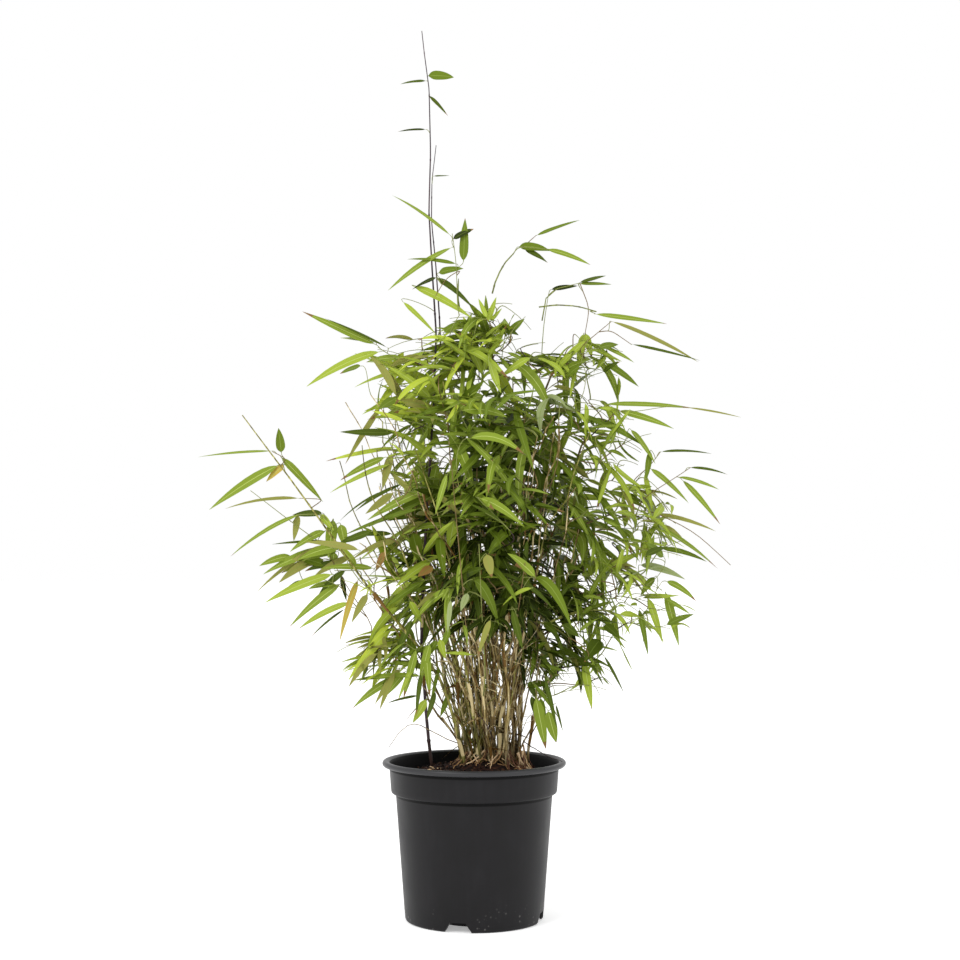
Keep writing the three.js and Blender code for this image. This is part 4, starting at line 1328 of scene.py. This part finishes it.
PLACED_LEAVES = {
    "upper_front": [
        (0.24, 0.58, 0.64, 0.52, 14, 4, "grass"), (0.11, -0.06, 0.0, -0.44, 8, 1, "grass"),
        (0.31, 0.29, 0.78, 0.14, 9, 8, "grass"),
    ],
    "middle_front": [(0.35, 0.6, 0.71, 0.32, 9, 4, "grass")],
    "upper_left": [
        (0.29, 0.76, 0.14, 0.62, 9, 1, "green"),
    ],
    "crown_top": [
        (0.60, 0.46, 0.75, 0.65, 8, 1, "green"), (0.53, 0.55, 0.70, 0.45, 8, 1, "deep"),
        (0.07, 0.47, 0.21, 0.60, 7, 1, "green"),
        (0.43, 0.62, 0.36, 0.85, 5, 0, "fresh"), (0.44, 0.6, 0.51, 0.87, 6, 0, "fresh"),
        (0.43, 0.62, 0.42, 0.9, 5, 0, "grass"), (0.46, 0.62, 0.56, 0.78, 5, 0, "fresh"),
        (0.22, 0.11, 0.05, 0.25, 10, 1, "green"), (0.03, -0.01, 0.19, 0.13, 9, 1, "grass"),
    ],
    "crown_top_left": [
        (0.1, 0.37, -0.08, 0.29, 7, 1, "green"),
    ],
    "crown_top_right": [
        (0.58, 0.4, 0.46, 0.22, 8, 1, "green"),
        (0.64, 0.80, 0.32, 0.25, 9, 2, "fresh"),
        (0.76, 0.7, 0.94, 0.79, 8, 1, "green"), (0.8, 0.35, 0.94, 0.48, 7, 1, "deep"),
    ],
    "middle_right": [
        (0.82, -0.02, 0.69, 0.14, 9, 1, "green"), (0.68, 0.0, 0.83, 0.1, 8, 1, "deep"),
    ],
    "lower_front": [
        (0.80, 0.65, 0.58, 0.90, 11, 2, "grass"), (0.80, 0.64, 1.08, 0.12, 11, 12, "green"),
        (0.77, 0.53, 0.54, 0.33, 5, 4, "fresh"), (0.32, 0.61, 0.52, 0.12, 11, 9, "green"),
        (0.42, 0.89, 0.46, 0.65, 10, 0, "olive"), (0.27, 0.48, 0.22, 0.30, 7, 0, "grey"),
        (0.14, 0.41, 0.12, 0.07, 5, 0, "grey"), (0.05, -0.02, 0.1, -0.2, 7, 0, "fresh"),
        (0.31, -0.18, 0.06, -0.16, 4.5, 1, "fresh"), (0.13, 0.09, 0.05, -0.16, 6, 0, "green"),
        (0.62, 0.30, 0.70, -0.12, 7, 0, "deep"), (0.45, 0.20, 0.35, -0.20, 6, 2, "olive"),
    ],
    "middle_left": [
        (0.81, 0.21, 0.38, 0.12, 8, 5, "grass"), (0.86, 0.28, 0.81, -0.05, 11, 0, "fresh"),
        (0.96, 0.50, 0.74, 0.33, 5, 5, "fresh"), (0.65, 0.65, 0.06, 0.29, 10, 3, "grass"),
        (0.54, 0.42, -0.16, 0.12, 6, 2, "green"), (0.31, 0.60, 0.06, 0.36, 8, 0, "olive"),
        (0.33, 0.64, -0.16, 0.28, 2.5, 6, "deep"), (0.11, 0.16, -0.19, 0.03, 8, 0, "deep"),
        (0.70, 0.95, 0.62, 0.45, 10, 0, "grass"),
    ],
    "lower_left": [
        (0.77, 0.71, 0.49, 0.40, 9, 2, "fresh"), (0.62, 1.06, 0.67, 0.71, 15, 0, "green"),
        (0.60, 0.22, 0.70, -0.06, 8, 0, "fresh"), (0.74, 0.09, 0.70, -0.36, 10, 0, "green"),
        (0.49, 0.97, 0.11, 0.71, 8, 4, "olive"), (0.39, 0.83, 0.31, 0.58, 7, 0, "rust"),
        (0.17, 0.47, 0.03, -0.29, 7, 5, "yellow"), (0.31, -0.35, 0.16, -0.63, 8, 1, "yellow"),
        (0.78, 0.65, 0.67, 0.53, 9, 0, "rust"), (0.45, 1.05, 0.05, 1.00, 6, 2, "deep"),
        (0.30, 0.62, -0.12, 0.62, 7, 2, "grass"), (0.20, 0.85, -0.25, 0.95, 7, 2, "olive"),
    ],
    "left_skirt": [
        (1.18, 0.64, 1.02, 0.26, 8, 1, "green"), (1.16, -0.22, 1.07, -0.67, 6, 0, "deep"),
        (1.31, -0.29, 1.21, -0.67, 6, 0, "green"),
        (0.95, 0.35, 0.75, -0.35, 6, 1, "fresh"), (1.0, 0.1, 0.95, -0.6, 5, 0, "deep"),
        (0.85, 0.9, 0.95, 0.1, 9, 1, "green"), (0.95, 0.5, 0.8, -0.35, 8, 1, "grass"),
        (1.05, 0.6, 1.1, -0.3, 8, 0, "grass"), (0.9, 1.0, 0.7, 0.3, 8, 1, "deep"),
        (0.8, 0.6, 0.45, 0.0, 8, 3, "grass"), (1.1, 0.6, 0.98, -0.1, 8, 1, "grass"),
        (0.7, 0.1, 0.55, -0.5, 6, 1, "olive"), (1.2, 0.2, 1.1, -0.5, 4, 1, "green"),
    ],
    "right_skirt": [
        (0.55, 0.56, 0.61, -0.22, 8.5, 0, "fresh"), (0.69, 0.92, 0.54, 0.58, 14, 1, "deep"),
        (0.72, 0.66, 0.88, 0.07, 3, 1, "deep"), (0.6, 0.6, 0.72, 0.15, 3, 0, "deep"),
        (0.2, 0.3, 0.3, -0.5, 5, 1, "deep"), (0.1, 0.2, 0.32, -0.35, 4, 2, "green"),
        (0.36, 1.19, 0.5, 0.98, 9, 1, "deep"), (0.72, 1.19, 0.84, 0.97, 9, 1, "deep"),
        (0.19, 1.22, 0.31, 1.02, 8, 1, "deep"),
    ],
    "tip_leaves": [
        (0.49, 0.99, 0.89, 0.98, 11, 1, "green"), (0.46, 0.92, 0.06, 0.87, 3.5, 1, "deep"),
        (0.51, 0.66, 0.80, 0.32, 4, 1, "deep"), (0.46, 0.10, 0.03, 0.06, 2.5, 1, "dark"),
        (0.58, -0.65, 0.83, -0.65, 2, 0, "deep"),
    ],
    "tuft": [
        (0.75, 0.60, 0.08, 0.96, 4.5, 3, "grass"), (0.77, 0.50, 0.03, 0.11, 7, 4, "grass"),
        (0.82, 0.35, 0.25, 0.39, 4.5, 2, "green"), (0.90, 0.37, 0.92, 0.76, 10, 0, "green"),
        (0.78, 0.57, 1.02, 0.66, 8, 1, "dark"), (0.61, 0.27, 0.90, 0.30, 10, 1, "green"),
        (0.59, 0.22, 0.31, 0.12, 4.5, 1, "dark"), (0.59, 0.22, 1.02, -0.06, 8, 3, "deep"),
        (0.32, 0.15, 1.00, -0.15, 9, 3, "fresh"), (0.20, 0.01, 0.59, -0.29, 5, 1, "fresh"),
    ],
    "arching_leaves": [
        (0.05, 0.47, 0.44, 0.40, 9, 2, "green"), (0.12, 0.44, 0.41, 0.18, 6.5, 1, "deep"),
        (0.40, 0.44, 0.94, 0.15, 6, 2, "grass"), (0.27, 0.69, 0.81, 0.96, 5, 1, "green"),
    ],
    "high_right_leaves": [
        (0.00, 0.29, 0.45, 0.42, 6, 0.5, "dark"), (0.48, 0.52, 0.92, 0.71, 4.5, 0.5, "deep"),
        (0.48, 0.48, 1.02, 0.45, 4, 0.5, "green"), (0.55, -1.1, 0.45, -2.2, 9, 0, "fresh"),
        (0.58, -1.1, 0.68, -1.9, 9, 0, "fresh"),
    ],
    "right_shoulder": [
        (0.06, 0.85, 0.70, 0.70, 6, 0.5, "grass"), (0.20, 0.73, 0.98, 0.12, 6.5, 3, "olive"),
        (0.38, 0.38, 0.99, 0.14, 3, 1, "deep"),
        (0.05, 0.4, 0.4, 0.1, 8, 2, "grass"), (0.15, 0.1, 0.45, -0.25, 8, 2, "green"),
    ],
    "right_long_leaves": [
        (-0.19, 0.64, 0.56, 0.54, 6, 2, "grass"), (0.48, 0.56, 0.95, 0.33, 2.5, 1, "olive"),
        (-0.08, 0.48, 0.38, 0.05, 7, 2, "grass"), (-0.3, 0.3, 0.12, -0.35, 8, 3, "green"),
    ],
    "right_side_leaves": [
        (0.21, 0.94, 0.75, 0.92, 3, 2, "deep"), (0.52, 0.76, 0.91, 0.68, 3, 2, "deep"),
        (0.39, 0.65, 0.83, 0.51, 4.5, 2, "grass"), (0.44, 0.62, 0.83, 0.11, 6, 2, "grass"),
        (0.15, 0.23, 0.78, 0.03, 4.5, 3, "olive"), (0.15, 0.10, 0.81, -0.40, 7, 4, "grass"),
        (0.0, 0.45, 0.35, -0.15, 8, 3, "grey"), (0.05, 0.7, 0.12, 0.25, 6, 0, "fresh"),
        (-0.1, 1.2, 0.15, 0.8, 8, 2, "grass"), (0.1, 0.95, 0.05, 0.6, 7, 1, "green"),
        (0.1, 0.75, 0.5, 0.35, 8, 2, "grass"),
    ],
    "right_low_leaves": [
        (0.18, 0.64, 0.02, 0.47, 8, 1, "green"),
        (0.29, 0.44, 0.56, 0.30, 4.5, 1, "grass"), (0.1, 0.45, 0.27, 0.03, 8, 2, "fresh"),
        (0.3, 0.6, 0.62, 0.42, 7, 3, "grass"), (0.02, 0.75, 0.5, 0.62, 8, 3, "grey"),
        (0.0, 0.35, 0.1, -0.08, 7, 1, "green"), (0.25, 0.9, 0.75, 0.78, 6, 3, "green"),
        (0.3, 0.5, 0.45, 0.0, 9, 2, "grass"), (0.3, 0.2, 0.6, 0.3, 7, 1, "green"),
    ],
    "right_hanging_leaves": [
        (0.12, 0.73, 0.52, 0.08, 12, 0, "grass"), (0.6, 0.56, 0.94, 0.16, 12, 0, "grass"),
        (-0.16, 0.93, 0.12, 0.71, 7, 0, "deep"), (0.48, 0.89, -0.28, 0.84, 7, 1, "deep"),
        (0.2, 0.79, 0.7, 0.72, 6, 1, "dark"), (0.92, 0.64, 1.2, 0.3, 2.5, 0, "deep"),
        (-0.05, 0.75, 0.15, 0.45, 6, 0, "deep"), (0.3, 0.72, 0.5, 0.36, 7, 0, "green"),
    ],
    "left_spray_high": [
        (0.59, 0.67, 0.06, 0.60, 3.5, 1.5, "grass"), (0.66, 0.65, 0.64, 0.93, 9.5, 0, "green"),
        (0.66, 0.60, 0.96, 0.09, 10, 1, "grass"), (0.64, 0.51, 0.15, 0.00, 10, 3, "grass"),
        (0.68, 0.51, 0.55, 0.32, 8, 1, "yellow"), (0.79, 0.13, 0.26, 0.01, 4.5, 4, "olive"),
    ],
    "left_spray_middle": [
        (0.58, 0.69, 0.01, 0.00, 6, 5, "grass"), (0.76, 0.71, 0.51, 0.68, 8, 0.5, "deep"),
        (0.56, 0.69, 0.52, 0.25, 7, 0, "olive"), (0.85, 0.61, 0.81, -0.03, 12, 0, "grass"),
        (0.91, 0.53, 0.95, 0.16, 10, 0, "grass"), (0.78, 0.42, 0.5, 0.08, 9, 2, "grass"),
        (0.74, 0.7, 0.86, 0.42, 7, 0, "fresh"), (0.8, 0.25, 0.35, 0.2, 3, 1, "deep"),
    ],
    "left_spray_low": [
        (0.42, 0.63, 0.22, 0.51, 8, 1, "green"),
        (0.68, 0.71, 0.07, 0.41, 9.5, 3, "fresh"), (0.75, 0.61, 0.29, 0.15, 9, 3, "grass"),
        (0.84, 0.41, 0.37, 0.13, 8, 3, "fresh"), (0.64, 0.98, 0.05, 0.71, 10, 4, "grass"),
        (0.61, 1.03, -0.02, 0.52, 5, 5, "olive"), (0.68, 0.95, 0.69, 0.76, 9, 0, "grass"),
        (0.58, 0.87, 0.25, 0.74, 7, 2, "green"), (0.76, 1.0, 0.36, 0.86, 10, 3, "grass"),
        (0.6, 0.86, 0.2, 0.72, 9, 3, "olive"), (0.72, 0.83, 0.42, 0.74, 7, 2, "deep"),
        (0.85, 0.9, 0.5, 0.68, 8, 2, "olive"), (0.3, 0.9, 0.02, 0.8, 8, 2, "grass"),
        (0.5, 0.86, 0.2, 0.62, 9, 3, "olive"), (0.62, 0.8, 0.3, 0.88, 9, 2, "green"),
        (0.7, 0.6, 0.45, 0.55, 8, 2, "grass"),
        (0.8, 0.75, 0.55, 0.5, 7, 2, "deep"), (0.79, 0.34, 0.48, 0.04, 2.5, 2, "deep"),
        (0.72, 0.95, 0.4, 0.85, 8, 2, "grass"), (0.9, 0.8, 0.7, 1.05, 8, 1, "fresh"),
        (1.0, 0.5, 0.86, 0.2, 8, 1, "olive"), (0.75, 0.7, 0.8, 0.42, 5, 0, "dark"),
    ],
    "left_shoulder": [
        (0.82, 0.55, 0.06, 1.00, 8, 0, "grass"), (0.87, 0.45, 0.10, -0.04, 10, 5, "fresh"),
        (0.82, 0.58, 0.45, 0.64, 4, 1, "grey"), (0.95, 0.5, 0.3, 0.9, 3, 1, "deep"),
        (1.3, 0.2, 0.6, -0.05, 8, 4, "fresh"), (1.1, 0.35, 0.72, 0.3, 8, 2, "grass"),
    ],
    "left_middle_leaves": [
        (1.0, 0.81, 0.25, 0.82, 8.5, 0, "deep"), (1.02, 0.63, 0.04, 0.45, 5.5, 1.5, "lime"),
        (0.94, 0.41, 0.11, 0.04, 7, 2, "fresh"), (0.87, 0.50, 0.25, 0.20, 7, 2, "grass"),
        (0.80, 1.15, 0.32, 0.41, 6, 2, "olive"), (0.95, 0.55, 0.84, 0.08, 9, 0, "olive"),
        (1.1, 0.15, 0.45, -0.2, 5, 3, "deep"),
    ],
    "left_low_leaves": [
        (0.85, 0.73, 0.20, 0.14, 8, 3, "grass"), (0.92, 0.92, 0.55, 0.24, 7, 2, "olive"),
        (1.33, 0.33, 1.12, -0.14, 8.5, 0, "fresh"), (1.2, 0.39, 0.73, 0.25, 3, 1, "deep"),
        (1.0, 0.85, 0.72, 0.4, 7, 1, "grass"),
    ],
}

pad_rng = np.random.default_rng(43)
FRONT = -0.46  # where leaves placed on the crown hang: near the front of their mass


def in_mass(node, x, z, deep):
    """The point at those shares of a mass's width and height, deep behind its middle."""
    low, high = mass_boxes[node]
    return np.clip(low + (high - low) * [x, 0.5 + deep, z], low_limit, high_limit)


def twig_place(node, x, z):
    """A place for a twig: on the crown it comes out of the clump and rises just inside the front."""
    stray = pad_rng.uniform(-0.2, 0.2)
    if node not in CROWN:
        return in_mass(node, x, z, stray)
    deep = np.interp(z, [-0.4, 0.4, 1, 1.9], [0.5, -0.42, FRONT, -0.3])
    return in_mass(node, x, z, deep + stray * 0.3)


for node, rows in PLACED_LEAVES.items():
    near, stout = (FRONT, 1.2) if node in CROWN else (0, 1)
    for line in PLACED_TWIGS.get(node, []):
        places = [twig_place(node, x, z) for x, z in line]
        start, _ = nearest_wood(places[0])
        course = softened([start, *places], 12, 3)
        rod = tube(course, np.linspace(0.55, 0.35, 12) * stout * MM, 5)
        twigs.append((*rod, int(pad_rng.integers(0, 2))))
        add_wood(course, start=2)
    base = np.array([in_mass(node, r[0], r[1], near + pad_rng.uniform(-0.1, 0.35)) for r in rows])
    tip = np.array([in_mass(node, r[2], r[3], near + pad_rng.uniform(-0.2, 0.4)) for r in rows])
    for point, end in zip(base, tip):
        grow_to(point, unit(end - point), (0.4 * MM, 0.3 * MM), pad_rng, kind=0)
    width, arch = (np.array([r[i] for r in rows]) * MM for i in (4, 5))
    kinds = np.array([KIND[r[6]] for r in rows])
    count = len(rows)
    facing = unit(np.array([0, -0.9, 0.5]) + pad_rng.normal(size=(count, 3)) * 0.2)
    points = blade_points(
        spanning_spines(base, tip, arch),
        facing,
        width,
        pad_rng.uniform(0.05, 0.2, count),
        pad_rng.normal(size=count) * 0.3,
    )
    dry = np.where(pad_rng.random(count) < 0.3, pad_rng.uniform(0.86, 0.96, count), 2)
    blades.setdefault(node, []).append((points, kinds, dry))
for node, parts in blades.items():
    leaf_piece(node, *(np.concatenate(rows) for rows in zip(*parts)))

twig_points, twig_faces, twig_slots = joined(twigs)
crown_twigs = make_piece("crown_twigs", twig_points, twig_faces, twig_kinds, twig_slots)


# ---- Stage -----------------------------------------------------------------------------------
# A white studio: a pale floor, even light all round, and a soft lamp in front on the left.

FLOOR_HALF = 12.0
floor_mesh = bpy.data.meshes.new("studio_floor")
floor_mesh.from_pydata(
    [(x * FLOOR_HALF, y * FLOOR_HALF, 0) for x, y in ((-1, -1), (1, -1), (1, 1), (-1, 1))],
    [],
    [(0, 1, 2, 3)],
)
floor = bpy.data.objects.new("studio_floor", floor_mesh)
floor_white, _, shader = new_material("white_studio_floor", "#f4f4f4", 0.8, 1.45, 0.5)
shader.inputs["Emission Color"].default_value = (1, 1, 1, 1)
shader.inputs["Emission Strength"].default_value = 0.35
floor_mesh.materials.append(floor_white)
bpy.context.scene.collection.objects.link(floor)

world = bpy.data.worlds.new("studio_light")
world.use_nodes = True
background = world.node_tree.nodes["Background"]
background.inputs["Color"].default_value = (1, 1, 1, 1)
background.inputs["Strength"].default_value = 1.0
bpy.context.scene.world = world


def soft_lamp(name, place, target, size, power):
    """A square lamp of size metres that looks at target."""
    lamp = bpy.data.lights.new(name, "AREA")
    lamp.size = size
    lamp.energy = power
    holder = bpy.data.objects.new(name, lamp)
    holder.location = place
    holder.rotation_euler = (Vector(target) - Vector(place)).to_track_quat("-Z", "Y").to_euler()
    bpy.context.scene.collection.objects.link(holder)


soft_lamp("key_light", (-1.3, -1.6, 1.9), (0, 0, 0.45), 1.0, 26)
soft_lamp("fill_light", (1.6, -1.2, 1.0), (0, 0, 0.4), 1.2, 6)

camera_lens = bpy.data.cameras.new("camera")
camera_lens.lens = 68.96
camera_lens.sensor_width = 36
camera = bpy.data.objects.new("camera", camera_lens)
camera.location = (0.006, -1.90, 0.400)
camera.rotation_euler = (math.radians(91.53), 0, 0)
bpy.context.scene.collection.objects.link(camera)
bpy.context.scene.camera = camera
bpy.context.scene.view_settings.view_transform = "Standard"
